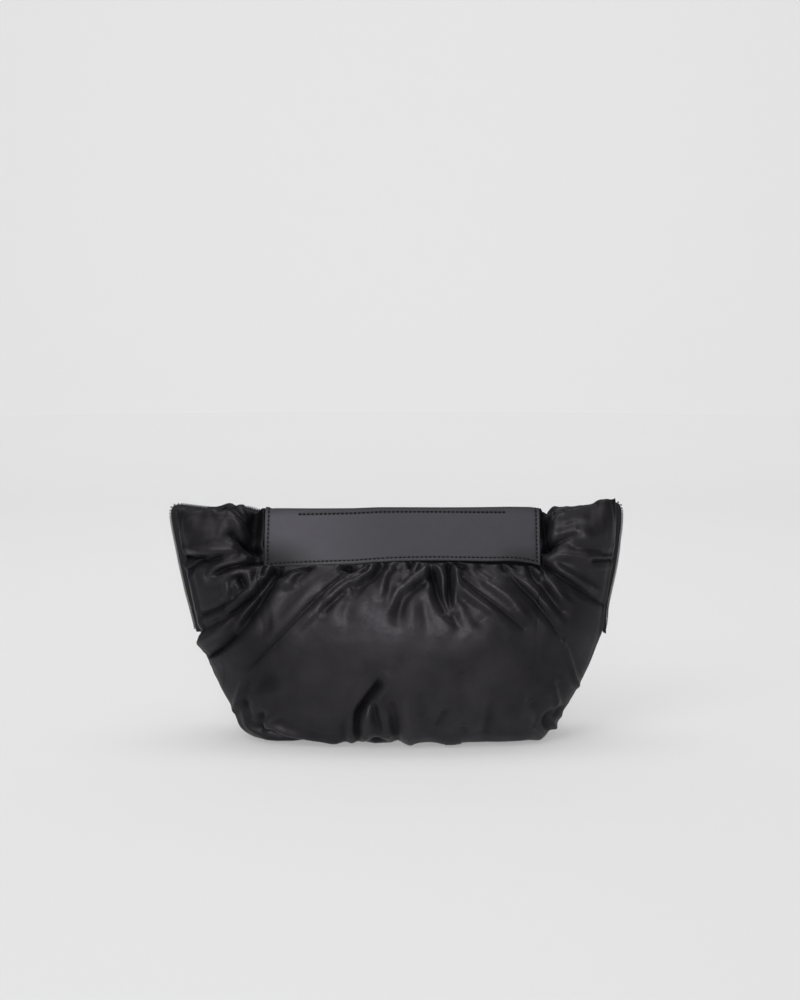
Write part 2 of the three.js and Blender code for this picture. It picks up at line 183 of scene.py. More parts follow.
LEVELS = SmoothTable(
    columns=(
        "down", "left_height", "right_height", "left_reach", "right_reach",
        "middle_height", "roll", "depth", "wing", "square", "flat",
    ),
    rows=(
        (0.0, 0.987, 1.014, 0.948, 0.952, 0.956, 0.0, 0.137, 0.0, 1.6, 5),
        (0.015, 0.979, 1.005, 0.958, 0.96, 0.955, 0.019, 0.145, 0.05, 1.6, 5),
        (0.03, 0.968, 0.992, 0.962, 0.964, 0.954, 0.032, 0.163, 0.08, 1.6, 4),
        (0.045, 0.957, 0.98, 0.962, 0.965, 0.948, 0.042, 0.2, 0.1, 1.6, 4),
        (0.06, 0.945, 0.966, 0.961, 0.965, 0.94, 0.043, 0.255, 0.12, 1.6, 4),
        (0.08, 0.93, 0.95, 0.958, 0.964, 0.925, 0.04, 0.305, 0.14, 1.6, 3),
        (0.12, 0.9, 0.92, 0.952, 0.963, 0.897, 0.031, 0.395, 0.18, 1.6, 3),
        (0.17, 0.858, 0.875, 0.943, 0.957, 0.868, 0.018, 0.49, 0.2, 1.6, 3),
        (0.22, 0.81, 0.825, 0.934, 0.953, 0.838, 0.007, 0.58, 0.19, 1.65, 3),
        (0.27, 0.76, 0.773, 0.925, 0.946, 0.798, 0.0, 0.665, 0.17, 1.75, 3),
        (0.32, 0.71, 0.72, 0.914, 0.937, 0.748, 0.0, 0.75, 0.13, 1.9, 3),
        (0.38, 0.648, 0.655, 0.901, 0.923, 0.684, 0.0, 0.83, 0.1, 2.1, 3),
        (0.45, 0.571, 0.577, 0.881, 0.908, 0.592, 0.0, 0.905, 0.06, 2.3, 3),
        (0.52, 0.49, 0.495, 0.862, 0.901, 0.49, 0.0, 0.945, 0.03, 2.5, 3),
        (0.59, 0.408, 0.413, 0.847, 0.878, 0.385, 0.0, 0.955, 0.01, 2.6, 3),
        (0.66, 0.332, 0.337, 0.815, 0.85, 0.28, 0.0, 0.935, 0.0, 2.7, 3),
        (0.73, 0.255, 0.27, 0.782, 0.815, 0.18, 0.0, 0.865, 0.0, 2.8, 4),
        (0.79, 0.194, 0.219, 0.74, 0.785, 0.097, 0.0, 0.755, 0.0, 2.9, 5),
        (0.84, 0.143, 0.184, 0.715, 0.772, 0.037, 0.0, 0.625, 0.0, 3.0, 6),
        (0.87, 0.117, 0.163, 0.71, 0.758, 0.007, 0.0, 0.52, 0.0, 3.2, 7),
        (0.93, 0.087, 0.138, 0.703, 0.74, 0.0, 0.0, 0.31, 0.0, 4.0, 8),
        (1.0, 0.061, 0.112, 0.695, 0.718, 0.0, 0.0, 0.137, 0.0, 5.0, 8),
    ),
)


@dataclass(frozen=True)
class Pattern:
    """The bag's cut: a panel's plain surface, as the CAD solids have it. Sizes in millimetres."""

    width: float = 380.0
    height: float = 196.0
    depth: float = 124.0
    seam_gap: float = 17.0
    back_sag: float = 3.0
    roundness: float = 0.75
    roll_end: float = 9.0
    wing_start: float = 0.66
    leather_width: float = 227.6
    leather_shift: float = 5.3
    leather_height: float = 53.0
    leather_tuck: float = 2.5
    zip_end: float = 0.54
    border_left: float = 4.6
    border_right: float = 1.4
    border_top: float = 0.42
    end_gap: float = 0.012
    rises: tuple[tuple[float, float, float, float], ...] = (
        (-184.0, -112.0, 9.0, 3.2),
        (-142.0, -124.0, 10.0, 2.4),
        (-10.0, 90.0, 30.0, 1.0),
        (124.0, 166.0, 8.0, -3.0),
    )

    @property
    def rim(self) -> float:
        """Half the gap between the panels' edges."""
        return self.seam_gap / 2

    def points(self, across: np.ndarray, down: np.ndarray) -> np.ndarray:
        """Give points of the front panel's plain surface.

        Args:
            across: From -1 at the left seam to 1 at the right one.
            down: From 0 at the zip to 1 at the seam under the base.

        Returns:
            Points, with x, y and z on the last axis.
        """
        level = LEVELS.at(down)
        side = np.abs(across)
        left = -level["left_reach"] * self.width / 2
        right = level["right_reach"] * self.width / 2
        x = lerp(left, right, (across + 1) / 2)
        side_height = np.where(across < 0, level["left_height"], level["right_height"])
        raised = np.maximum(lerp(level["middle_height"], side_height, side ** level["flat"]), 0)
        rolled = 1 - smoothstep(self.beside_leather(x), 0, self.roll_end)
        z = np.maximum(raised + level["roll"] * rolled, 0) * self.height
        z = z + self.mouth_rise(x) * (1 - smoothstep(down, 0.02, 0.17))
        lens = np.maximum(1 - side ** level["square"], 0) ** self.roundness
        corner = np.clip((side - self.wing_start) / (1 - self.wing_start), 0, 1)
        wing = level["wing"] * self.depth / 2 * np.sin(np.pi * corner)
        belly = lerp(self.rim, level["depth"] * self.depth / 2, lens) + wing
        return np.stack([x, -np.maximum(self.rim, belly), z], axis=-1)

    def mouth_rise(self, x: np.ndarray) -> np.ndarray:
        """Give how much the satin corners lift the mouth, in millimetres.

        Args:
            x: Places along the bag.

        Returns:
            The rise over the even line of the mouth.
        """
        parts = (
            rise * smoothstep(x, low - soft, low) * (1 - smoothstep(x, high, high + soft))
            for low, high, soft, rise in self.rises
        )
        return sum(parts, np.zeros(np.shape(x)))

    def normals(self, across: np.ndarray, down: np.ndarray) -> np.ndarray:
        """Give the front panel's outward directions at the same places as points."""
        step = 0.004
        a = np.clip(across, -1 + step, 1 - step)
        d = np.clip(down, step, 1 - step)
        along_across = self.points(a + step, d) - self.points(a - step, d)
        along_down = self.points(a, d + step) - self.points(a, d - step)
        return unit_rows(np.cross(along_down, along_across))

    def beside_leather(self, x: np.ndarray) -> np.ndarray:
        """Give how far a place along the bag lies past the leather's sides."""
        return np.maximum(np.abs(x - self.leather_shift) - self.leather_width / 2, 0)

    def off_leather(self, x: np.ndarray, slope: np.ndarray) -> tuple[np.ndarray, np.ndarray]:
        """Give how far places lie off the leather.

        Args:
            x: Places along the bag.
            slope: Their way down the panel from the zip.

        Returns:
            How far they lie below it, and how far away from it on the whole.
        """
        below = np.maximum(slope - self.leather_tuck - self.leather_height, 0)
        return below, np.hypot(self.beside_leather(x), below)

    def border_width(self, across: np.ndarray, down: np.ndarray) -> np.ndarray:
        """Give how far the zip's tape is laid onto the panel along its side seams."""
        widest = np.where(across < 0, self.border_left, self.border_right)
        widening = lerp(self.border_top, 1.0, smoothstep(down, 0.08, 0.42))
        return widest * widening * (1 - smoothstep(down, 0.52, 0.56))

    def across_at(self, x: np.ndarray, down: np.ndarray) -> np.ndarray:
        """Give where a place at a given x lies between the two seams."""
        level = LEVELS.at(down)
        left = -level["left_reach"] * self.width / 2
        right = level["right_reach"] * self.width / 2
        return 2 * (x - left) / (right - left) - 1

    def down_at(self, x: np.ndarray, slope: np.ndarray) -> np.ndarray:
        """Find how far down the panel a place lies.

        Args:
            x: Places along the bag, one per column.
            slope: Ways along the panel from the zip, one per column.

        Returns:
            The down coordinate of each place.
        """
        steps = np.linspace(0, 0.6, 500)
        columns, inverse = np.unique(np.round(x, 6), return_inverse=True)
        grid_x, grid_down = np.meshgrid(columns, steps, indexing="ij")
        walked = run_lengths(self.points(self.across_at(grid_x, grid_down), grid_down))
        return read_paths(slope, inverse, walked, grid_down)

    def sagged(self, points: np.ndarray) -> np.ndarray:
        """Lower the back of the mouth, where the zip slopes back."""
        share = smoothstep(points[..., 1], -self.rim, self.rim)
        high = (points[..., 2] / self.height) ** 2
        lowered = points.copy()
        lowered[..., 2] -= self.back_sag * share * high
        return lowered

    def placed(self, points: np.ndarray, side: Side) -> np.ndarray:
        """Put points of the front pattern on one face of the bag.

        Args:
            points: Points of the front pattern.
            side: The face of the bag that they belong to.

        Returns:
            The points with y turned for the back and the mouth sagged.
        """
        turned = points * np.array([1.0, -float(side.value), 1.0])
        return self.sagged(turned)

    def seam_way(self, kind: SeamKind, step: float) -> np.ndarray:
        """Give places along the seams in even steps, up the left seam and down the right one.

        Args:
            kind: The zip runs over the mouth, the gusset round the base.
            step: The distance between the places.

        Returns:
            Points on the front panel's seam.
        """
        over_mouth = kind is SeamKind.ZIP
        far = self.zip_end if over_mouth else self.zip_end + self.end_gap
        near = 0.0 if over_mouth else 1.0
        side = np.linspace(far, near, 200, endpoint=False)
        middle = np.linspace(-1, 1, 500)
        across = np.concatenate([np.full(200, -1.0), middle, np.full(200, 1.0)])
        down = np.concatenate([side, np.full(500, near), side[::-1]])
        way = self.points(across, down)
        way[:, 1] = -self.rim
        walked = run_lengths(way)
        count = max(round(walked[-1] / step), 8)
        places = np.linspace(0, walked[-1], count + 1)
        return np.stack([np.interp(places, walked, way[:, i]) for i in range(3)], axis=-1)

    def seam_out(self, way: np.ndarray, kind: SeamKind) -> np.ndarray:
        """Give the way out of the bag at each place of a seam, square to the seam."""
        smooth = way.copy()
        for _ in range(6):
            smooth[1:-1] = (smooth[:-2] + 2 * smooth[1:-1] + smooth[2:]) / 4
        along = np.gradient(smooth, axis=0)
        turn = 1.0 if kind is SeamKind.ZIP else -1.0
        out = np.stack([-along[:, 2] * turn, np.zeros(len(way)), along[:, 0] * turn], axis=-1)
        return unit_rows(out)


@dataclass(frozen=True)
class Sketch:
    """The place from which the folds are drawn, so that a sketch of them can be laid on the satin.

    Sketch units run right and down on a sheet of 800 by 1000. Lengths are in millimetres.
    """

    eye: tuple[float, float, float] = (3.4, -1570.6, 400.3)
    look_down: float = 7.2
    focal: float = 1891.6
    sheet: tuple[float, float] = (800.0, 1000.0)

    def seen(self, points: np.ndarray) -> np.ndarray:
        """Project points onto the sheet.

        Args:
            points: Points in millimetres.

        Returns:
            Right and down on the sheet for each point.
        """
        tilt = math.radians(self.look_down)
        ahead = np.array([0.0, math.cos(tilt), -math.sin(tilt)])
        up = np.array([0.0, math.sin(tilt), math.cos(tilt)])
        reach = points - np.array(self.eye)
        depth = reach @ ahead
        right = self.sheet[0] / 2 + self.focal * reach[..., 0] / depth
        return np.stack([right, self.sheet[1] / 2 - self.focal * (reach @ up) / depth], axis=-1)


@dataclass(frozen=True)
class Fold:
    """One fold of the satin, drawn as a line of sketch points.

    A fold with negative heights is a valley, and a sharp fold comes to a crease.
    """

    way: tuple[int, ...]
    breadth: float
    start: float
    end: float
    sharp: bool = False

    def line(self) -> np.ndarray:
        """Return the fold's points on a smooth line."""
        corners = np.array(self.way, dtype=float).reshape(-1, 2)
        if len(corners) == 2:
            return corners[0] + np.linspace(0, 1, 5)[:, None] * (corners[1] - corners[0])
        padded = np.vstack([2 * corners[0] - corners[1], corners, 2 * corners[-1] - corners[-2]])
        share = np.linspace(0, 1, 5, endpoint=False)[:, None]
        parts = []
        for a, b, c, d in zip(padded, padded[1:], padded[2:], padded[3:]):
            bend = 2 * a - 5 * b + 4 * c - d
            twist = 3 * b - a - 3 * c + d
            parts.append(b + 0.5 * share * (c - a + share * (bend + share * twist)))
        return np.vstack([*parts, corners[-1:]])

    def heights(self, seen: np.ndarray) -> np.ndarray:
        """Give how far the fold lifts the satin.

        Args:
            seen: Places on the sketch.

        Returns:
            The lift in millimetres at each place.
        """
        lift = np.zeros(len(seen))
        line = self.line()
        reach = self.breadth * FOLD_REACH
        low, high = line.min(axis=0) - reach, line.max(axis=0) + reach
        near = np.flatnonzero(np.all((seen > low) & (seen < high), axis=1))
        if not len(near):
            return lift
        places = seen[near]
        best = np.full(len(near), np.inf)
        share = np.zeros(len(near))
        for i, (a, b) in enumerate(zip(line, line[1:])):
            way = b - a
            off = places - a
            along = np.clip(off @ way / (way @ way), 0, 1)
            distance = np.linalg.norm(off - along[:, None] * way, axis=1)
            closer = distance < best
            best[closer] = distance[closer]
            share[closer] = ((i + along) / (len(line) - 1))[closer]
        ratio = best / self.breadth
        creased = 0.45 * np.exp(-((2.2 * ratio) ** 1.5)) + 0.55 * np.exp(-1.1 * ratio)
        profile = creased if self.sharp else np.exp(-(ratio**2))
        profile = profile - LIP * np.exp(-(((ratio - 2.3) / 0.9) ** 2))
        profile = profile * (1 - smoothstep(best, 0.7 * reach, reach))
        ends = smoothstep(share, -0.12, 0.06) * smoothstep(1 - share, -0.12, 0.1)
        lift[near] = lerp(self.start, self.end, share) * profile * ends
        return lift


FOLDS = (
    # left corner
    Fold((230, 534, 242, 545, 258, 554), 4.0, -4.2, -3.0, True),
    Fold((225, 520, 242, 533, 262, 550), 8.0, 1.5, 2.0),
    Fold((222, 512, 233, 517, 244, 527), 3.6, -3.8, -2.2, True),
    Fold((236, 510, 246, 512), 4.0, -2.5, -2.5),
    Fold((237, 514, 244, 520), 3.5, 1.5, 1.5),
    Fold((232, 523, 240, 528), 3.0, 1.2, 1.2),
    Fold((257, 512, 254, 532, 257, 556), 8.0, -4.0, -5.0),
    Fold((246, 530, 245, 550), 8.0, -2.2, -3.0),
    Fold((183, 556, 195, 557, 209, 557), 3.6, -4.6, -2.8, True),
    Fold((200, 550, 216, 549, 234, 550), 5.5, 2.6, 2.0),
    Fold((193, 570, 203, 561, 212, 560, 224, 557), 3.0, -3.2, -1.6, True),
    Fold((192, 566, 199, 562), 2.6, 1.2, 1.2),
    Fold((213, 573, 220, 566, 240, 562, 247, 558), 3.5, 2.2, 2.4),
    Fold((218, 573, 230, 567, 245, 565, 264, 563), 3.6, -3.4, -3.2, True),
    Fold((213, 577, 225, 573, 247, 572), 3.8, 2.0, 2.2),
    Fold((226, 578, 229, 588, 227, 600), 4.0, 1.6, 1.2),
    Fold((233, 582, 234, 598), 3.0, -1.2, -0.8),
    Fold((240, 578, 246, 586), 3.4, -2.8, -2.0),
    # valleys and ridges from the leather's lower left corner
    Fold((250, 577, 247, 588, 240, 596, 232, 603), 3.6, 2.5, 1.8),
    Fold((205, 613, 215, 610, 224, 606, 235, 598, 242, 590, 246, 586), 3.2, -2.0, -3.0, True),
    Fold((272, 568, 262, 578, 255, 588, 250, 592), 3.6, 3.0, 2.0),
    Fold((275, 571, 266, 583, 255, 597, 243, 606, 232, 615, 226, 621), 4.2, -4.5, -2.5, True),
    Fold((274, 576, 266, 588, 256, 601, 248, 611, 243, 620, 238, 630), 3.0, 2.6, 1.5),
    Fold(
        (279, 574, 270, 589, 261, 603, 252, 615, 241, 629, 232, 639, 222, 647, 210, 653),
        5.5, -4.0, -1.5,
    ),
    Fold((236, 617, 236, 628), 4.0, -1.4, -1.4),
    Fold((205, 642, 215, 636, 228, 627, 240, 616), 5.5, 2.6, 1.4),
    Fold((212, 655, 226, 647, 240, 634), 3.0, -2.6, -1.6, True),
    Fold((200, 634, 212, 625, 224, 619), 3.4, -1.8, -1.0),
    Fold((238, 711, 240, 695, 245, 679), 2.2, 1.0, 0.6),
    Fold((246, 706, 248, 690, 252, 678), 4.0, -1.2, -0.8),
    Fold((226, 624, 236, 616), 3.0, 1.2, 1.2),
    Fold((283, 577, 290, 573, 302, 570, 312, 568), 3.2, -3.0, -2.5, True),
    Fold((282, 583, 290, 584, 297, 579), 3.8, 1.6, 1.6),
    Fold((296, 581, 304, 574, 312, 569), 3.0, -2.0, -1.5),
    Fold(
        (362, 567, 345, 575, 330, 587, 316, 600, 300, 616, 278, 639, 264, 654, 252, 667),
        4.0, -3.4, -1.0, True,
    ),
    Fold((350, 579, 336, 592, 322, 605, 306, 621), 5.0, 1.8, 1.0),
    # gathers below the leather's middle
    Fold((345, 568, 352, 569), 3.4, -3.0, -3.0),
    Fold((369, 566, 355, 573, 340, 582, 320, 598), 4.0, 2.2, 1.2),
    Fold((330, 592, 345, 581, 360, 576, 368, 568), 3.4, -2.5, -4.0, True),
    Fold((330, 600, 342, 590, 355, 581, 363, 575), 3.4, 1.5, 2.2),
    Fold((325, 610, 338, 597, 347, 589, 353, 585), 3.4, -1.5, -4.0),
    Fold((348, 590, 362, 578, 375, 567), 3.6, 2.0, 3.2),
    Fold((345, 615, 355, 593, 368, 581, 380, 571, 388, 566), 6.5, -1.0, -3.0),
    Fold((382, 592, 386, 574, 393, 565), 5.0, 1.2, 2.6),
    Fold((388, 608, 390, 580, 398, 567), 4.5, -0.8, -2.4),
    Fold((400, 583, 408, 577, 416, 573, 421, 567), 3.0, -2.0, -4.0, True),
    Fold((413, 573, 418, 565), 2.8, 2.6, 2.6),
    Fold((410, 564, 411, 570), 3.0, -3.0, -2.5),
    Fold((388, 610, 397, 593, 405, 585, 415, 578, 431, 564), 4.6, 1.0, 3.2),
    Fold((397, 619, 403, 602, 412, 591, 425, 580), 5.5, -1.0, -3.0),
    Fold((431, 566, 434, 580, 438, 595, 443, 608, 446, 614), 5.5, -5.0, -1.6),
    Fold((434, 567, 440, 573, 443, 581, 443, 591, 446, 603, 450, 614), 3.0, 3.4, 2.0),
    Fold((449, 566, 449, 580, 449, 596, 450, 611), 4.2, -5.0, -2.6),
    Fold((455, 565, 455, 576, 454, 591, 452, 611), 3.2, 3.2, 1.6),
    Fold((452, 615, 459, 628), 4.5, -1.8, -0.8),
    Fold(
        (456, 564, 460, 575, 467, 584, 476, 592, 487, 600, 499, 609, 509, 617, 522, 628),
        4.0, -4.0, -1.2, True,
    ),
    Fold((455, 572, 459, 585, 468, 594, 480, 602, 495, 612), 4.0, 2.6, 1.0),
    Fold((466, 573, 478, 583, 490, 592, 503, 602, 511, 609), 5.0, -2.0, -1.0),
    Fold((484, 580, 496, 590, 508, 600, 520, 614), 6.0, 2.2, 1.4),
    Fold((457, 563, 461, 566, 466, 568), 3.0, -3.0, -2.0),
    Fold((465, 602, 472, 616, 480, 624), 7.0, -1.2, -1.2),
    # gathers at the leather's lower right
    Fold((480, 566, 486, 574, 494, 580), 5.0, -1.8, -0.8),
    Fold(
        (502, 568, 510, 576, 520, 587, 532, 599, 542, 611, 551, 624, 556, 634),
        3.4, -3.4, -1.0, True,
    ),
    Fold((511, 573, 524, 584, 538, 597, 549, 609), 4.6, 2.2, 1.2),
    Fold((503, 565, 508, 570, 517, 576, 524, 580), 2.8, -2.4, -1.4, True),
    Fold((512, 564, 519, 572), 3.6, -3.2, -2.0),
    Fold((529, 567, 533, 578, 537, 584), 3.6, -3.0, -1.5),
    Fold((544, 588, 552, 600, 561, 613), 4.8, -2.2, -1.4),
    Fold((540, 575, 550, 584, 561, 600), 4.4, 2.2, 1.4),
    Fold((540, 566, 550, 570, 562, 578, 575, 587, 588, 596, 598, 603), 3.4, -3.4, -1.8, True),
    Fold((556, 568, 572, 578, 588, 588), 4.4, 1.8, 1.2),
    # right corner
    Fold((559, 511, 560, 518, 553, 528), 3.4, -3.0, -1.6, True),
    Fold((549, 513, 552, 525), 5.0, 1.8, 1.8),
    Fold((546, 513, 545, 532, 547, 552), 5.0, -4.4, -5.0),
    Fold((541, 553, 550, 549, 560, 543, 566, 540, 577, 537), 3.6, -3.6, -1.6, True),
    Fold((550, 541, 565, 535, 577, 532), 4.6, 2.0, 1.6),
    Fold((565, 529, 578, 527, 592, 528), 5.0, -1.2, -1.0),
    Fold((580, 537, 602, 536), 7.0, 1.2, 1.0),
    Fold((573, 549, 595, 551), 5.0, -1.5, -1.2),
    Fold((548, 559, 570, 554, 592, 556, 603, 557), 4.4, 2.0, 1.4),
    Fold((590, 560, 602, 559, 614, 559), 3.0, -2.6, -3.0, True),
    Fold((600, 553, 613, 552), 3.0, -1.4, -1.4),
    # folds at the base
    Fold((377, 676, 368, 688, 358, 702, 350, 712, 346, 722, 347, 740), 8.0, -1.0, -2.4),
    Fold((375, 682, 365, 693, 356, 704, 353, 714, 351, 728, 353, 742), 3.6, 1.2, 1.2),
    Fold((379, 682, 371, 692, 363, 703, 358, 711, 357, 722, 358, 742), 4.4, -3.2, -3.0),
    Fold((374, 704, 376, 716, 381, 729), 3.6, -2.4, -1.6),
    Fold((367, 712, 367, 730), 4.0, 1.0, 0.8),
    Fold((387, 712, 389, 730), 5.0, 1.2, 1.0),
    Fold((366, 741, 375, 736, 387, 739), 3.6, -2.6, -2.6),
    Fold((391, 700, 394, 720, 397, 742), 5.0, -1.6, -3.0),
    Fold((407, 702, 409, 722, 411, 742), 5.5, 1.2, 1.8),
    Fold((421, 690, 420, 716), 9.0, -1.6, -1.2),
    Fold((461, 670, 459, 712), 9.0, -1.2, -1.0),
    Fold((445, 708, 436, 723), 5.5, -2.0, -2.0),
    Fold((444, 739, 462, 739), 6.0, 2.0, 2.0),
    Fold((464, 722, 464, 740), 6.0, -1.2, -1.4),
    Fold((490, 700, 484, 730), 7.0, -1.5, -1.8),
    Fold((282, 712, 272, 716, 268, 728), 3.6, 1.6, 1.6),
    Fold((264, 711, 265, 727), 3.6, -2.2, -1.8),
    Fold((272, 718, 285, 727, 300, 733, 320, 738, 340, 739), 3.4, 2.4, 1.4),
    Fold((270, 727, 283, 733, 308, 739, 330, 741), 3.2, -3.4, -2.0, True),
    Fold((250, 700, 264, 686, 282, 676), 9.0, -1.4, -1.0),
    Fold((262, 655, 270, 668, 276, 690), 16.0, -1.0, -0.9),
    Fold((530, 722, 536, 733), 4.5, 1.6, 1.6),
    Fold((529, 700, 541, 716), 7.0, -1.6, -1.4),
    # the lower corners' seam edges
    Fold((243, 702, 249, 712, 252, 722, 263, 731, 280, 738, 300, 741), 2.6, 1.0, 1.0),
    Fold((246, 700, 253, 711, 257, 720, 268, 728), 3.4, -1.2, -1.0),
    Fold((560, 640, 565, 650, 570, 665, 575, 683), 2.0, 1.2, 1.2),
    Fold((550, 676, 560, 677, 568, 684), 3.0, 0.8, 0.8),
    Fold((552, 680, 555, 700, 552, 712), 2.2, 1.0, 1.0),
    Fold((505, 640, 530, 660, 548, 690), 18.0, -1.1, -1.1),
    Fold((225, 668, 245, 668, 262, 676), 15.0, -1.0, -1.0),
    Fold((566, 708, 553, 716, 551, 726, 545, 734), 2.2, 1.2, 1.2),
    Fold((558, 705, 548, 714, 546, 726), 3.0, -1.6, -1.6),
)


@dataclass(frozen=True)
class Ripple:
    """Smooth unevenness of a cloth, the same on each run."""

    seed: int
    cell: tuple[float, float]
    height: float = 1.0
    knots: int = 96
    start: float = 40.0

    def at(self, x: np.ndarray, y: np.ndarray) -> np.ndarray:
        """Read the unevenness.

        Args:
            x: Places along the cloth in millimetres.
            y: Places down the cloth in millimetres.

        Returns:
            Values of about minus the height to the height.
        """
        knots = np.random.default_rng(self.seed).uniform(-1, 1, (self.knots, self.knots))
        gx, gy = x / self.cell[0] + self.start, y / self.cell[1] + self.start
        ix, iy = np.floor(gx).astype(int), np.floor(gy).astype(int)
        fx, fy = gx - ix, gy - iy
        sx, sy = fx * fx * (3 - 2 * fx), fy * fy * (3 - 2 * fy)
        ix, iy, next_x, next_y = (i % self.knots for i in (ix, iy, ix + 1, iy + 1))
        near = lerp(knots[ix, iy], knots[next_x, iy], sx)
        far = lerp(knots[ix, next_y], knots[next_x, next_y], sx)
        return self.height * lerp(near, far, sy)


def curve_shares(place: np.ndarray, last: int) -> tuple[list[np.ndarray], list[np.ndarray]]:
    """Find what a smooth curve through even points is made of.

    Args:
        place: Shares of the way along the curve.
        last: The number of the last point.

    Returns:
        The four points about each place, and the share of each of them.
    """
    at = np.clip(place * last, 0, last - 1e-9)
    low = np.floor(at).astype(int)
    p = at - low
    shares = [
        0.5 * (-p + 2 * p**2 - p**3),
        0.5 * (2 - 5 * p**2 + 3 * p**3),
        0.5 * (p + 4 * p**2 - 3 * p**3),
        0.5 * (-(p**2) + p**3),
    ]
    return [np.clip(low + k, 0, last) for k in (-1, 0, 1, 2)], shares


def read_grid(values: np.ndarray, along: np.ndarray, fall: np.ndarray) -> np.ndarray:
    """Read an even grid of vectors at any place, on smooth curves through them.

    Args:
        values: The grid, row by row.
        along: Shares of the way along each row.
        fall: Shares of the way down the rows.

    Returns:
        The vector at each place.
    """
    columns, column_shares = curve_shares(along, values.shape[1] - 1)
    rows, row_shares = curve_shares(fall, values.shape[0] - 1)
    found = np.zeros((len(along), values.shape[2]))
    for row, row_share in zip(rows, row_shares):
        for column, column_share in zip(columns, column_shares):
            found += values[row, column] * (row_share * column_share)[:, None]
    return found


def grid_of(columns: int, rows: int) -> tuple[bmesh.types.BMesh, np.ndarray, np.ndarray]:
    """Make a flat grid to be shaped.

    Args:
        columns: Faces along the grid.
        rows: Faces down the grid.

    Returns:
        The grid, and each vertex's share along it and down it.
    """
    grid = bmesh.new()
    bmesh.ops.create_grid(grid, x_segments=columns, y_segments=rows, size=1.0)
    places = place_of(grid.verts)
    return grid, (places[:, 0] + 1) / 2, (1 - places[:, 1]) / 2


def shape_to(grid: bmesh.types.BMesh, points: np.ndarray) -> None:
    """Move a grid's vertices to points in millimetres."""
    for vert, place in zip(grid.verts, points * MM):
        vert.co = place


def band_along(way: np.ndarray, faces: int) -> tuple[bmesh.types.BMesh, np.ndarray, np.ndarray]:
    """Make a flat band to be shaped along a seam.

    Args:
        way: Places along the seam.
        faces: Faces across the band.

    Returns:
        The band, and each vertex's place on the way and across it, from -1 to 1.
    """
    grid, along, over = grid_of(len(way) - 1, faces)
    return grid, np.rint(along * (len(way) - 1)).astype(int), 2 * over - 1


def place_of(verts: object) -> np.ndarray:
    """Return vertices' places as rows."""
    return np.array([vert.co[:] for vert in verts])


def lay_painted_light(grid: bmesh.types.BMesh, values: np.ndarray) -> None:
    """Lay a share on each vertex, which the finish reads as its shade, the painted light in its
    colour.
    """
    layer = grid.verts.layers.float.new("shade")
    for vert, value in zip(grid.verts, values):
        vert[layer] = value


def face_up(sheet: bmesh.types.BMesh, up: bool = True) -> None:
    """Turn a sheet over where its faces look down on the whole, or up if up is false."""
    sheet.normal_update()
    if (sum(face.normal.z for face in sheet.faces) > 0) != up:
        bmesh.ops.reverse_faces(sheet, faces=sheet.faces[:])


def lay_cloth_uv(grid: bmesh.types.BMesh, along: np.ndarray, down: np.ndarray) -> None:
    """Lay a UV map in metres along the cloth.

    Args:
        grid: The shaped grid.
        along: Each vertex's way along the cloth in millimetres.
        down: Each vertex's way down the cloth in millimetres.
    """
    layer = grid.loops.layers.uv.new("cloth")
    grid.verts.index_update()
    places = np.stack([along, down], axis=-1) * MM
    for face in grid.faces:
        for loop in face.loops:
            loop[layer].uv = places[loop.vert.index]


def turn_in_edges(grid: bmesh.types.BMesh, heart: Vector, steps: tuple[float, ...]) -> None:
    """Turn a sheet's open edges in, as a seam allowance.

    Args:
        grid: The sheet.
        heart: The place towards which the edges turn, in metres.
        steps: The widths turned in one after the other, in millimetres.
    """
    edges = [edge for edge in grid.edges if edge.is_boundary]
    for step in steps:
        made = bmesh.ops.extrude_edge_only(grid, edges=edges)["geom"]
        for vert in (item for item in made if isinstance(item, bmesh.types.BMVert)):
            inward = Vector((heart.x - vert.co.x, 0.0, heart.z - vert.co.z))
            vert.co += inward.normalized() * step * MM
        edges = [item for item in made if isinstance(item, bmesh.types.BMEdge) and item.is_boundary]


def mesh_of(shape: bmesh.types.BMesh, name: str, smooth: bool = True) -> bpy.types.Mesh:
    """Turn a shape into a mesh and free the shape."""
    mesh = bpy.data.meshes.new(name)
    shape.to_mesh(mesh)
    shape.free()
    mesh.polygons.foreach_set("use_smooth", [smooth] * len(mesh.polygons))
    return mesh


def set_out(name: str, data: bpy.types.ID) -> bpy.types.Object:
    """Put a new object into the scene."""
    made = bpy.data.objects.new(name, data)
    bpy.context.scene.collection.objects.link(made)
    return made


def make_piece(
    shape: bmesh.types.BMesh,
    name: str,
    material: bpy.types.Material,
    nodes: tuple[str, ...],
    smooth: bool = True,
) -> bpy.types.Object:
    """Turn a shape into a finished piece of the bag.

    Args:
        shape: The modelled shape, freed here.
        name: The piece's name.
        material: Its finish.
        nodes: The CAD nodes that it stands for.
        smooth: Whether its faces are shaded smooth.

    Returns:
        The piece, riding on the bag's one body.
    """
    mesh = mesh_of(shape, name, smooth)
    piece = set_out(name, mesh)
    mesh.materials.append(material)
    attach(piece, BODY)
    if nodes:
        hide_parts(*nodes)
    LOG.info("%s: %d faces", name, len(mesh.polygons))
    return piece


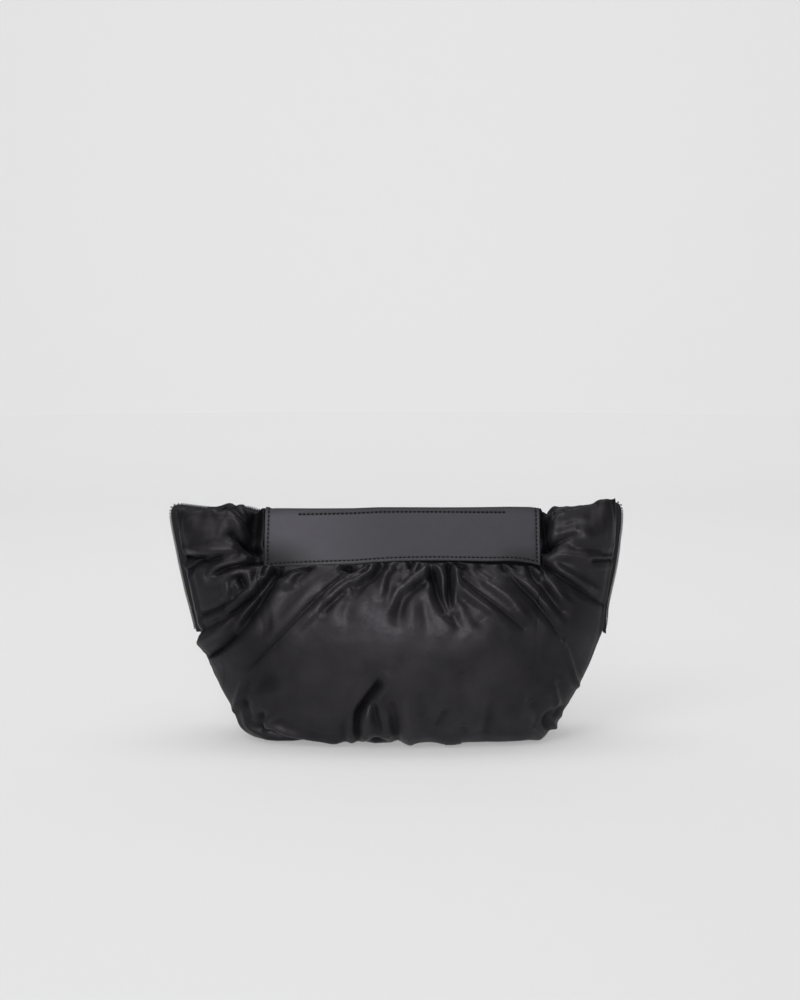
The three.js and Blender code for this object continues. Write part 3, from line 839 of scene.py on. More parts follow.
class NodeBoard:
    """A material's node tree with its shader, for building a finish."""

    def __init__(self, name: str) -> None:
        """Start a material with one shader."""
        self.material = bpy.data.materials.new(name)
        self.material.use_nodes = True
        self.tree = self.material.node_tree
        self.shader = next(n for n in self.tree.nodes if n.type == "BSDF_PRINCIPLED")

    def add(self, kind: str, **settings: object) -> bpy.types.Node:
        """Add a node.

        Args:
            kind: The node's type name without its prefix.
            **settings: Its properties, or its inputs where a name isn't a property.

        Returns:
            The node.
        """
        node = self.tree.nodes.new("ShaderNode" + kind)
        for name, value in settings.items():
            if hasattr(node, name):
                setattr(node, name, value)
            else:
                node.inputs[name.replace("_", " ")].default_value = value
        return node

    def join(self, output: bpy.types.NodeSocket, entry: bpy.types.NodeSocket) -> None:
        """Link an output to an input."""
        self.tree.links.new(output, entry)

    def place(self, source: str) -> bpy.types.NodeSocket:
        """Return a coordinate output, Object or UV."""
        return self.add("TexCoord").outputs[source]

    def math(self, operation: str, *terms: object) -> bpy.types.NodeSocket:
        """Add a sum of one operation.

        Args:
            operation: The math node's operation.
            *terms: Sockets or numbers.

        Returns:
            Its result.
        """
        node = self.add("Math", operation=operation)
        for i, term in enumerate(terms):
            if isinstance(term, (int, float)):
                node.inputs[i].default_value = term
            else:
                self.join(term, node.inputs[i])
        return node.outputs[0]

    def noise(
        self, at: bpy.types.NodeSocket, scale: float, detail: float = 3.0
    ) -> bpy.types.NodeSocket:
        """Add a noise read at a coordinate and return its value."""
        node = self.add("TexNoise", Scale=scale, Detail=detail, Roughness=0.55)
        self.join(at, node.inputs["Vector"])
        return node.outputs["Fac"]

    def spread(
        self,
        value: bpy.types.NodeSocket,
        low: float,
        high: float,
        start: float = 0.3,
        end: float = 0.7,
    ) -> bpy.types.NodeSocket:
        """Spread a value of start to end over low to high."""
        node = self.add("MapRange")
        self.join(value, node.inputs["Value"])
        names = ("From Min", "From Max", "To Min", "To Max")
        for name, number in zip(names, (start, end, low, high)):
            node.inputs[name].default_value = number
        return node.outputs["Result"]

    def tones(
        self, share: bpy.types.NodeSocket, dark: tuple[float, ...], light: tuple[float, ...]
    ) -> bpy.types.NodeSocket:
        """Mix two tones by a share."""
        node = self.add("Mix", data_type="RGBA")
        node.inputs[6].default_value = (*dark, 1.0)
        node.inputs[7].default_value = (*light, 1.0)
        self.join(share, node.inputs[0])
        return node.outputs[2]

    def bump(
        self,
        height: bpy.types.NodeSocket,
        strength: float,
        distance: float,
        under: bpy.types.NodeSocket | None = None,
    ) -> bpy.types.NodeSocket:
        """Raise a relief.

        Args:
            height: The relief's height.
            strength: How much of it shows.
            distance: Its depth in metres.
            under: The relief that it lies on.

        Returns:
            The normal.
        """
        node = self.add("Bump", Strength=strength, Distance=distance)
        self.join(height, node.inputs["Height"])
        if under is not None:
            self.join(under, node.inputs["Normal"])
        return node.outputs["Normal"]

    def dress(self, **sockets: object) -> None:
        """Set the shader's inputs, linked ones and plain ones alike."""
        for name, value in sockets.items():
            entry = self.shader.inputs[name.replace("_", " ")]
            if isinstance(value, bpy.types.NodeSocket):
                self.join(value, entry)
            else:
                entry.default_value = value


@dataclass(frozen=True)
class SatinFinish:
    """Black satin with a soft violet cast, woven fine, its gloss stretched along the weft."""

    dark: tuple[float, float, float] = (0.0015, 0.0014, 0.0018)
    light: tuple[float, float, float] = (0.008, 0.0072, 0.0094)
    thread: float = 0.00042
    roughness: tuple[float, float] = (0.4, 0.5)
    gloss: float = 0.28
    tint: tuple[float, float, float, float] = (1.0, 0.955, 1.03, 1.0)
    tone_scale: float = 55.0
    drift_scale: float = 22.0
    crinkle_scale: float = 420.0
    rumple_scale: float = 120.0

    def material(self, name: str) -> bpy.types.Material:
        """Build the satin, duller down in its folds by the panel's painted shade and brighter on
        its crests by painted highlights.
        """
        board = NodeBoard(name)
        cloth, solid = board.place("UV"), board.place("Object")
        tone = board.noise(solid, self.tone_scale, 4.0)
        bands = 1 / (20 * self.thread) * 3.14
        weft = board.add("TexWave", wave_type="BANDS", bands_direction="Y", Scale=bands)
        weft.inputs["Distortion"].default_value = 1.2
        weft.inputs["Detail Scale"].default_value = 4.0
        board.join(cloth, weft.inputs["Vector"])
        crinkle = board.noise(solid, self.crinkle_scale, 5.0)
        rumple = board.noise(solid, self.rumple_scale, 3.0)
        relief = board.bump(rumple, 0.2, 0.0009)
        relief = board.bump(crinkle, 0.18, 0.0004, relief)
        relief = board.bump(weft.outputs["Fac"], 0.25, 0.00005, relief)
        tangent = board.add("Tangent", direction_type="UV_MAP", uv_map="cloth")
        drift = board.spread(board.noise(solid, self.drift_scale, 2.0), 0.84, 1.16, 0.32, 0.68)
        # painted light: the panel's shade attribute darkens colour and gloss in folds, to the sides
        # and beside the leather, and lightens them on crests
        laid = board.add("Attribute", attribute_name="shade")
        shade = board.math("MULTIPLY", laid.outputs["Fac"], drift)
        share = board.math("MULTIPLY", board.spread(tone, 0.3, 1.0), shade)
        board.dress(
            Base_Color=board.tones(share, self.dark, self.light),
            Roughness=board.spread(crinkle, *self.roughness),
            Normal=relief,
            Tangent=tangent.outputs[0],
            Anisotropic=0.35,
            Specular_IOR_Level=board.math("MULTIPLY", shade, self.gloss),
            Specular_Tint=self.tint,
            Sheen_Weight=0.02,
            Sheen_Roughness=0.45,
        )
        return board.material


@dataclass(frozen=True)
class LeatherFinish:
    """Soft charcoal leather with a fine pebbled grain, darker towards its corners by painted shade.
    """

    dark: tuple[float, float, float] = (0.008, 0.0078, 0.0092)
    light: tuple[float, float, float] = (0.078, 0.075, 0.089)
    grain: float = 0.0011
    pore_scale: float = 2400.0
    drift_scale: float = 90.0

    def material(self, name: str) -> bpy.types.Material:
        """Build the leather."""
        board = NodeBoard(name)
        solid = board.place("Object")
        cells = board.add("TexVoronoi", feature="DISTANCE_TO_EDGE", Scale=1 / self.grain)
        board.join(solid, cells.inputs["Vector"])
        pebble = board.spread(cells.outputs["Distance"], 0.0, 1.0, 0.0, 0.25)
        pores = board.noise(solid, self.pore_scale, 3.0)
        drift = board.noise(solid, self.drift_scale, 4.0)
        # painted shade at the corners, top edge and stitch channels, and painted light on the left,
        # read from the panel's shade attribute
        painted_light_attr = board.add("Attribute", attribute_name="shade")
        share = board.math("MULTIPLY", painted_light_attr.outputs["Fac"], board.spread(drift, 0.86, 1.0))
        share = board.math("MULTIPLY", share, board.spread(pebble, 0.88, 1.0, 0.0, 1.0))
        relief = board.bump(drift, 0.2, 0.0006)
        relief = board.bump(pebble, 0.35, 0.00012, relief)
        relief = board.bump(pores, 0.3, 0.00004, relief)
        board.dress(
            Base_Color=board.tones(share, self.dark, self.light),
            Roughness=board.spread(drift, 0.5, 0.62),
            Normal=relief,
            Specular_IOR_Level=0.2,
        )
        return board.material


@dataclass(frozen=True)
class HerringboneFinish:
    """Black woven tape whose ribs turn from side to side."""

    dark: tuple[float, float, float] = (0.007, 0.007, 0.008)
    light: tuple[float, float, float] = (0.03, 0.0295, 0.033)
    rib: float = 0.0011
    turn: float = 0.0042
    roughness: float = 0.7
    fuzz_scale: float = 1500.0

    def material(self, name: str) -> bpy.types.Material:
        """Build the weave on the tape's own UV map."""
        board = NodeBoard(name)
        cloth = board.add("SeparateXYZ")
        board.join(board.place("UV"), cloth.inputs[0])
        zigzag = board.math("PINGPONG", cloth.outputs[1], self.turn / 2)
        slant = board.math("ADD", cloth.outputs[0], zigzag)
        ribs = board.math("SINE", board.math("MULTIPLY", slant, 2 * math.pi / self.rib))
        cords = board.math("MULTIPLY", cloth.outputs[1], 2 * math.pi / (self.turn / 2))
        cords = board.math("MULTIPLY", board.math("SINE", cords), 0.15)
        height = board.math("ADD", board.math("MULTIPLY", ribs, 0.35), cords)
        share = board.spread(height, 0.0, 1.0, -0.5, 0.5)
        fuzz = board.noise(board.place("Object"), self.fuzz_scale, 4.0)
        relief = board.bump(share, 0.5, 0.00018)
        relief = board.bump(fuzz, 0.3, 0.00005, relief)
        board.dress(
            Base_Color=board.tones(share, self.dark, self.light),
            Roughness=board.spread(fuzz, self.roughness - 0.08, self.roughness + 0.08),
            Normal=relief,
            Specular_IOR_Level=0.04,
        )
        return board.material


@dataclass(frozen=True)
class PlainFinish:
    """A small hard or twisted finish: thread, moulded teeth or metal."""

    dark: tuple[float, float, float]
    light: tuple[float, float, float]
    roughness: float
    metallic: float = 0.0
    gloss: float = 0.035
    grain: float = 900.0
    depth: float = 0.00006

    def material(self, name: str) -> bpy.types.Material:
        """Build the finish."""
        board = NodeBoard(name)
        solid = board.place("Object")
        speck = board.noise(solid, self.grain, 4.0)
        drift = board.noise(solid, self.grain / 8, 2.0)
        board.dress(
            Base_Color=board.tones(board.spread(drift, 0.0, 1.0), self.dark, self.light),
            Roughness=board.spread(speck, self.roughness - 0.06, self.roughness + 0.06),
            Normal=board.bump(speck, 0.4, self.depth),
            Metallic=self.metallic,
            Specular_IOR_Level=self.gloss,
        )
        return board.material


@dataclass(frozen=True)
class SatinPanel:
    """One padded satin panel with its swell, folds and gathers. Sizes in millimetres."""

    pattern: Pattern
    sketch: Sketch
    side: Side
    columns: int = 352
    rows: int = 264
    swell: float = 5.5
    swell_reach: float = 22.0
    sink: float = 1.6
    relief: float = 1.5
    deepest: float = 10.0
    tuck: float = 2.6
    edge_roll: float = 1.0
    gather_height: float = 232.0
    gather_end: tuple[float, float] = (30.0, 85.0)
    hem_lift: float = 3.0
    corner_right: float = 4.6
    corner_left: float = 1.8
    waist: float = 2.4
    puffs: tuple[tuple[float, float, float, float], ...] = (
        (-138.0, -116.0, 8.0, 2.6),
        (122.0, 196.0, 8.0, 4.6),
        (174.0, 196.0, 30.0, 7.0),
    )

    @property
    def node(self) -> str:
        """The CAD node that the panel stands for."""
        return self.side.label + "_panel"

    def even_down(self, share: np.ndarray) -> np.ndarray:
        """Give the down coordinate of even steps down the panel, near its middle."""
        steps = np.linspace(0, 1, 800)
        walked = run_lengths(self.pattern.points(np.full(len(steps), -0.2), steps))
        return np.interp(share * walked[-1], walked, steps)

    def slopes(self, across: np.ndarray, down: np.ndarray) -> np.ndarray:
        """Give each vertex's way down the panel from the zip in millimetres."""
        steps = np.linspace(0, 1, 400)
        columns, inverse = np.unique(np.round(across, 6), return_inverse=True)
        grid_across, grid_down = np.meshgrid(columns, steps, indexing="ij")
        walked = run_lengths(self.pattern.points(grid_across, grid_down))
        return read_paths(down, inverse, grid_down, walked)

    def folded(self, plain: np.ndarray) -> np.ndarray:
        """Give the folds' lift at points of the front pattern."""
        seen = self.sketch.seen(plain * self.side.mirror)
        return sum((fold.heights(seen) for fold in FOLDS), np.zeros(len(plain)))

    def drawn_in(self, plain: np.ndarray, below: np.ndarray) -> np.ndarray:
        """Give the soft folds that spread from under the leather as the satin is gathered there.

        Args:
            plain: Points of the plain surface.
            below: How far they lie below the leather.

        Returns:
            The lift in millimetres.
        """
        reach = plain[:, [0, 2]] - np.array([self.pattern.leather_shift + 8.0, self.gather_height])
        turn = np.degrees(np.arctan2(reach[:, 0], -reach[:, 1]))
        far = np.linalg.norm(reach, axis=1)
        seed = self.side.seed(41)
        spread = Ripple(seed, (5.5, 70.0), 1.3).at(turn, far)
        spread = spread + Ripple(seed + 1, (2.6, 50.0), 0.3).at(turn, far)
        return spread * smoothstep(below, 2, 14) * (1 - smoothstep(below, *self.gather_end))

    def lift(
        self, plain: np.ndarray, across: np.ndarray, down: np.ndarray, slope: np.ndarray
    ) -> np.ndarray:
        """Give how far the satin stands off the plain surface.

        Args:
            plain: Points of the plain surface.
            across: Where they lie between the seams.
            down: Where they lie from the zip to the seam under the base.
            slope: Their way down the panel from the zip.

        Returns:
            The lift in millimetres.
        """
        pattern = self.pattern
        below, away = pattern.off_leather(plain[:, 0], slope)
        swell = 0.55 * (1 - np.exp(-away / 5)) + 0.45 * (1 - np.exp(-away / self.swell_reach))
        base_fade = smoothstep(plain[:, 2], -2, 8)
        rim_fade = smoothstep(-plain[:, 1], pattern.rim - 1, pattern.rim + 6)
        near = smoothstep(away, 0, 4)
        seed = self.side.seed(11)
        fine = Ripple(seed, (7.0, 34.0), 0.7).at(plain[:, 0], slope) * np.exp(-below / 26)
        broad = Ripple(seed + 1, (36.0, 30.0), 1.5).at(plain[:, 0], slope)
        small = Ripple(seed + 2, (9.0, 10.0), 0.12).at(plain[:, 0], slope)
        loose = self.relief * self.folded(plain) + fine + broad + small
        loose = loose + self.drawn_in(plain, below)
        loose = np.maximum(loose, -self.deepest)
        hollow = np.minimum(loose, 0) * near * rim_fade
        proud = self.swell * swell + near * np.maximum(loose, 0)
        tuck = self.tuck * (1 - smoothstep(plain[:, 2], 1, 15)) * (1 - smoothstep(down, 0.93, 1.0))
        lifted = -self.sink * (1 - near) + proud * base_fade * rim_fade + hollow - tuck
        edge = (1 - np.abs(across)) * pattern.width / 2 - pattern.border_width(across, down)
        rolled = np.exp(-(((edge - 1.4) / 1.3) ** 2)) - 0.5 * np.exp(-(((edge - 4.6) / 1.8) ** 2))
        return lifted + self.edge_roll * rolled * smoothstep(slope, 4, 14)

    def puffed(self, x: np.ndarray, slope: np.ndarray) -> np.ndarray:
        """Give how far the satin corners puff up over the mouth, in millimetres."""
        high = np.zeros(len(x))
        for low, far, soft, rise in self.puffs:
            high += rise * smoothstep(x, low - soft, low) * (1 - smoothstep(x, far, far + soft))
        uneven = 1 + Ripple(71, (9.0, 60.0), 0.3).at(x, slope)
        return high * uneven * smoothstep(slope, 0, 6) * (1 - smoothstep(slope, 9, 30))

    def drawn_corners(self, points: np.ndarray) -> np.ndarray:
        """Draw the lower corners and hips in, and lift the hem a little off the floor in waves.

        Args:
            points: Points of the front panel.

        Returns:
            The points with the corners drawn in.
        """
        x, y, z = points.T
        moved = points.copy()
        low = np.exp(-(((z - 22) / 10) ** 2))
        moved[:, 0] -= self.corner_right * low * smoothstep(x, 95, 130)
        moved[:, 0] += self.corner_left * np.exp(-((z / 9) ** 2)) * smoothstep(-x, 95, 130)
        hips = np.exp(-(((z - 56) / 22) ** 2)) * smoothstep(np.abs(x), 112, 146)
        moved[:, 0] -= self.waist * hips * np.sign(x)
        waves = 0.72 + Ripple(81, (17.0, 60.0), 0.5).at(x, z)
        rise = self.hem_lift * waves * smoothstep(x, -82, -70) * (1 - smoothstep(x, 118, 140))
        moved[:, 2] = np.maximum(z, rise * smoothstep(-y, 18, 40))
        return moved

    def shade(self, plain: np.ndarray, slope: np.ndarray) -> np.ndarray:
        """Give the satin's painted light in its gloss and colour: painted shade down in the folds,
        beside the leather and to the sides, painted highlights on the crests.

        Args:
            plain: Points of the plain surface.
            slope: Their way down the panel from the zip.

        Returns:
            The share of the gloss and the base colour, as painted light, 1 on even satin.
        """
        folded = self.folded(plain)
        away = self.pattern.off_leather(plain[:, 0], slope)[1]
        # painted shade in the folds' valleys
        painted_fold_shade = 0.86 * smoothstep(-folded, 0.3, 4.2)
        # painted highlight on the folds' crests
        painted_crest_highlight = 0.45 * smoothstep(folded, 0.3, 2.6)
        # painted shadow beside the leather, where the satin tucks under it
        painted_tuck_shadow = 0.6 * (1 - smoothstep(away, 0.0, 4.0))
        # painted light: brighter in the middle, painted shade towards the sides
        painted_side_shade = 1.1 - 0.28 * smoothstep(np.abs(plain[:, 0] - 6), 35, 150)
        return np.clip((1 - painted_fold_shade + painted_crest_highlight) * (1 - painted_tuck_shadow) * painted_side_shade, 0.06, 1.6)

    def spread_out(
        self, along: np.ndarray, fall: np.ndarray
    ) -> tuple[np.ndarray, np.ndarray, np.ndarray]:
        """Spread the panel over the front pattern, folds and all.

        Args:
            along: Shares of the way from the left seam to the right one.
            fall: Shares of the way from the zip to the seam under the base.

        Returns:
            The points, where they lie between the seams, and their way down the panel.
        """
        across = 2 * along - 1
        down = self.even_down(fall)
        plain = self.pattern.points(across, down)
        slope = self.slopes(across, down)
        inner = (np.abs(across) < 1 - 1e-6) & (down > 1e-6) & (down < 1 - 1e-6)
        lift = np.where(inner, self.lift(plain, across, down, slope), 0.0)
        spread = plain + self.pattern.normals(across, down) * lift[:, None]
        spread[:, 2] += np.where(inner, self.puffed(plain[:, 0], slope), 0.0)
        return self.drawn_corners(spread), across, slope

    def build(self, finish: bpy.types.Material, settled: np.ndarray | None) -> bpy.types.Object:
        """Make the panel.

        Args:
            finish: The satin.
            settled: How the front satin moved as it settled, on an even grid, or None.

        Returns:
            The panel.
        """
        grid, along, fall = grid_of(self.columns, self.rows)
        lifted, across, slope = self.spread_out(along, fall)
        if settled is not None:
            turned = along if self.side is Side.FRONT else 1 - along
            lifted = lifted + read_grid(settled, turned, fall) * self.side.mirror
        lifted[:, 1] = np.minimum(lifted[:, 1], -self.pattern.rim)
        lifted[:, 2] = np.maximum(lifted[:, 2], 0)
        shape_to(grid, self.pattern.placed(lifted, self.side))
        lay_cloth_uv(grid, across * self.pattern.width / 2, slope)
        # painted light: shade in the folds, beside the leather and to the sides, highlights on the
        # crests
        plain = self.pattern.points(across, self.even_down(fall))
        lay_painted_light(grid, self.shade(plain, slope))
        turn_in_edges(grid, Vector((0.0, 0.0, 0.1)), (1.0, 3.0))
        if self.side is Side.BACK:
            bmesh.ops.reverse_faces(grid, faces=grid.faces[:])
        piece = make_piece(grid, "satin_" + self.side.label, finish, (self.node,))
        return piece


@dataclass(frozen=True)
class Settling:
    """Lets the wadding press the satin out between its seams and the leather, as cloth.

    The satin starts with its drawn folds. Sizes in millimetres.
    """

    columns: int = 150
    rows: int = 112
    frames: int = 16
    pressure: float = 5.0
    hold: float = 0.12
    most: float = 5.0
    evenings: int = 3

    def run(self, panel: SatinPanel) -> np.ndarray:
        """Settle a panel.

        Args:
            panel: The front panel.

        Returns:
            How far each point of an even grid moved, in millimetres, row by row.
        """
        grid, along, fall = grid_of(self.columns, self.rows)
        start, across, slope = panel.spread_out(along, fall)
        shape_to(grid, start)
        mesh = mesh_of(grid, "settling", smooth=False)
        cloth = set_out("settling", mesh)
        self.hold_seams(cloth, panel, start, across, slope, fall)
        self.add_cloth(cloth)
        scene = bpy.context.scene
        for number in range(1, self.frames + 1):
            scene.frame_set(number)
        settled = cloth.evaluated_get(bpy.context.evaluated_depsgraph_get()).to_mesh()
        end = np.empty(len(mesh.vertices) * 3)
        settled.vertices.foreach_get("co", end)
        moved = end.reshape(-1, 3) / MM - start
        length = np.linalg.norm(moved, axis=1, keepdims=True)
        moved = moved * np.minimum(1.0, self.most / np.maximum(length, 1e-6))
        bpy.data.objects.remove(cloth)
        scene.frame_set(1)
        LOG.info("satin settled by %.1f mm on average", float(length.mean()))
        rows = np.rint(fall * self.rows).astype(int)
        columns = np.rint(along * self.columns).astype(int)
        even = np.zeros((self.rows + 1, self.columns + 1, 3))
        even[rows, columns] = moved
        for _ in range(self.evenings):
            even[1:-1] = (even[:-2] + 2 * even[1:-1] + even[2:]) / 4
            even[:, 1:-1] = (even[:, :-2] + 2 * even[:, 1:-1] + even[:, 2:]) / 4
        return even

    def hold_seams(
        self,
        cloth: bpy.types.Object,
        panel: SatinPanel,
        start: np.ndarray,
        across: np.ndarray,
        slope: np.ndarray,
        fall: np.ndarray,
    ) -> None:
        """Hold the satin at its seams and under the leather.

        Args:
            cloth: The satin.
            panel: The panel that it is.
            start: Its points.
            across: Where they lie between the seams.
            slope: Their way down the panel.
            fall: Their share of that way.
        """
        pattern = panel.pattern
        away = pattern.off_leather(start[:, 0], slope)[1]
        edge = np.minimum((1 - np.abs(across)) * pattern.width / 2, slope)
        edge = np.minimum(edge, (1 - fall) * PANEL_DROP)
        loose = smoothstep(away, 0.5, 5) * smoothstep(edge, 3, 12) * smoothstep(start[:, 2], 0, 10)
        weights = self.hold + (1 - self.hold) * (1 - loose)
        group = cloth.vertex_groups.new(name="held")
        for i, weight in enumerate(weights):
            group.add([i], float(weight), "REPLACE")

    def add_cloth(self, cloth: bpy.types.Object) -> None:
        """Give the satin its cloth, pushed out by the wadding."""
        modifier = cloth.modifiers.new("cloth", "CLOTH")
        settings = modifier.settings
        settings.quality = 6
        settings.mass = 0.12
        settings.tension_stiffness = 18
        settings.compression_stiffness = 10
        settings.shear_stiffness = 6
        settings.bending_stiffness = 4.0
        settings.tension_damping = 6
        settings.compression_damping = 6
        settings.air_damping = 4
        settings.vertex_group_mass = "held"
        settings.pin_stiffness = 2.5
        settings.use_pressure = True
        settings.uniform_pressure_force = self.pressure
        settings.effector_weights.gravity = 0.0
        modifier.collision_settings.use_collision = False
        modifier.collision_settings.use_self_collision = False
        modifier.point_cache.frame_start = 1
        modifier.point_cache.frame_end = self.frames


HEM = SmoothTable(
    columns=("across", "drop"),
    rows=(
        (0.0, 2.4), (0.06, 2.4), (0.35, 3.2), (0.5, 2.0),
        (0.65, 0.9), (0.8, 0.0), (0.93, -1.2), (1.0, 0.6),
    ),
)


@dataclass(frozen=True)
class LeatherPanel:
    """One leather panel with rolled edges and its stitches. Sizes in millimetres."""

    pattern: Pattern
    side: Side
    columns: int = 150
    rows: int = 60
    clearance: float = 0.3
    thickness: float = 1.7
    edge_radius: float = 1.1
    stitch_inset: float = 3.0
    stitch_pitch: float = 3.5
    top_row: float = 10.3
    row_start: float = 29.0
    row_end: float = 198.0
    channel: float = 0.6
    skived: float = 0.25
    fine_thread: tuple[float, float, float] = (1.4, 0.78, 0.42)
    heavy_thread: tuple[float, float, float] = (1.6, 1.15, 0.5)

    @property
    def node(self) -> str:
        """The CAD node that the panel stands for."""
        return "leather_" + self.side.label

    @staticmethod
    def crowded(share: np.ndarray, length: float) -> np.ndarray:
        """Space a share of 0 to 1 over a length, with the lines close together near both ends."""
        bent = share - 0.9 * np.sin(2 * np.pi * share) / (2 * np.pi)
        return bent * length

    def surface(self, across: np.ndarray, down: np.ndarray, off: np.ndarray) -> np.ndarray:
        """Give points over the satin.

        Args:
            across: Millimetres from the leather's left edge.
            down: Millimetres from its edge beside the zip.
            off: The distance from the satin's plain surface.

        Returns:
            Points on the bag.
        """
        x = self.pattern.leather_shift - self.pattern.leather_width / 2 + across
        drop = HEM.at(across / self.pattern.leather_width)["drop"] / self.pattern.leather_height
        place = self.pattern.down_at(x, self.pattern.leather_tuck + down * (1 + drop))
        between = self.pattern.across_at(x, place)
        plain = self.pattern.points(between, place)
        normal = self.pattern.normals(between, place)
        return self.pattern.placed(plain + normal * off[:, None], self.side)

    def height(self, across: np.ndarray, down: np.ndarray) -> np.ndarray:
        """Give the leather's outer height over the satin, with its edges and stitch channel."""
        width, length = self.pattern.leather_width, self.pattern.leather_height
        side_edge = np.minimum(across, width - across)
        edge = np.minimum(np.minimum(side_edge, length - down), down)
        bent = np.clip(edge / self.edge_radius, 0, 1)
        rounded = np.sqrt(np.maximum(1 - (1 - bent) ** 2, 0))
        seam = np.minimum(side_edge, length - down)
        dip = np.exp(-(((seam - self.stitch_inset) / 1.0) ** 2))
        row = np.exp(-(((down - self.top_row) / 1.1) ** 2))
        dip = self.channel * (dip + row * smoothstep(side_edge, 26, 32))
        uneven = Ripple(5, (38.0, 21.0), 0.5).at(across, down) * smoothstep(edge, 2, 12)
        plump = 0.3 * smoothstep(seam, 3.5, 9) + uneven
        full = self.skived + (self.thickness - self.skived) * rounded
        return self.clearance + full - dip + plump

    def shade(self, across: np.ndarray, down: np.ndarray) -> np.ndarray:
        """Give the leather's painted light: painted shade at its lower corners, top edge and
        stitches, and lighter on its left.
        """
        width, length = self.pattern.leather_width, self.pattern.leather_height
        # painted shade at the lower corners
        left = np.hypot(across / 45, (length - down) / 24)
        right = np.hypot((width - 13 - across) / 34, (length - down) / 18)
        corner = smoothstep(left, 0.2, 1.25) * lerp(0.3, 1.0, smoothstep(right, 0.05, 1.0))
        # painted light: lighter on the left side, falling off towards the middle
        painted_left_light = 0.46 + 0.28 * (1 - smoothstep(across / width, 0.1, 0.48))
        # painted shade along the top edge, which faces up into the light
        painted_top_shade = lerp(0.42, 1.0, smoothstep(down, 5.0, 12.5))
        painted_top_shade = painted_top_shade * lerp(0.5, 1.0, smoothstep(down, 0.3, 2.5))
        # painted shade in the stitch channels along the sides, bottom and top row
        seam = np.minimum(np.minimum(across, width - across), length - down) - self.stitch_inset
        painted_channel_shade = 1 - 0.45 * np.exp(-((seam / 0.9) ** 2))
        row = np.exp(-(((down - self.top_row) / 1.2) ** 2))
        row = row * smoothstep(across, self.row_start - 2, self.row_start + 1)
        row = row * (1 - smoothstep(across, self.row_end - 1, self.row_end + 2))
        painted_channel_shade = painted_channel_shade * (1 - 0.5 * row)
        return np.clip(corner * painted_left_light * painted_top_shade * painted_channel_shade, 0, 1)

    def build(
        self, finish: bpy.types.Material, thread: bpy.types.Material
    ) -> list[bpy.types.Object]:
        """Make the leather and its stitches.

        Args:
            finish: The leather.
            thread: The stitches.

        Returns:
            The pieces.
        """
        width, length = self.pattern.leather_width, self.pattern.leather_height
        grid, along, fall = grid_of(self.columns, self.rows)
        across, down = self.crowded(along, width), self.crowded(fall, length)
        shape_to(grid, self.surface(across, down, self.height(across, down)))
        lay_cloth_uv(grid, across, down)
        # painted light: shade at the lower corners, top edge and stitch channels, lighter on the
        # left
        lay_painted_light(grid, self.shade(across, down))
        if self.side is Side.BACK:
            bmesh.ops.reverse_faces(grid, faces=grid.faces[:])
        name = "leather_trim_" + self.side.label
        piece = make_piece(grid, name, finish, (self.node,))
        return [piece, self.stitches(thread)]

    def stitch_places(self) -> list[tuple[float, float, float, float]]:
        """Give each stitch's place across and down, and its way across and down."""
        width, length = self.pattern.leather_width, self.pattern.leather_height
        inset, pitch = self.stitch_inset, self.stitch_pitch
        places = []
        low = length - inset
        for i in range(int(low / pitch)):
            down = low - i * pitch
            places.append((inset, down, 0.0, 1.0))
            places.append((width - inset, down, 0.0, 1.0))
        count = round((width - 2 * inset) / pitch)
        for i in range(1, count):
            places.append((lerp(inset, width - inset, i / count), low, 1.0, 0.0))
        count = round((self.row_end - self.row_start) / pitch)
        for i in range(count + 1):
            along = lerp(self.row_start, self.row_end, i / count)
            places.append((along, self.top_row, 1.0, 0.0))
        return places

    def stitches(self, thread: bpy.types.Material) -> bpy.types.Object:
        """Make the stitches as one piece of short rounded threads."""
        places = np.array(self.stitch_places())
        across, down, way_across, way_down = places.T
        off = self.height(across, down) + 0.1
        centre = self.surface(across, down, off)
        above = self.surface(across, down, off + 1.0)
        ahead = self.surface(across + way_across * 0.5, down + way_down * 0.5, off)
        made = bmesh.new()
        for i in range(len(places)):
            up = Vector(above[i] - centre[i]).normalized()
            along = Vector(ahead[i] - centre[i])
            along = (along - up * along.dot(up)).normalized()
            side = up.cross(along)
            turn = Matrix((along, side, up)).transposed().to_4x4()
            heavy = down[i] < self.top_row + 0.5 and way_across[i]
            half = Vector(self.heavy_thread if heavy else self.fine_thread) * MM
            seat = Matrix.Translation(Vector(centre[i]) * MM) @ turn @ Matrix.Diagonal((*half, 1.0))
            bmesh.ops.create_icosphere(made, subdivisions=1, radius=1.0, matrix=seat)
        bmesh.ops.recalc_face_normals(made, faces=made.faces[:])
        return make_piece(made, "stitches_" + self.side.label, thread, ())


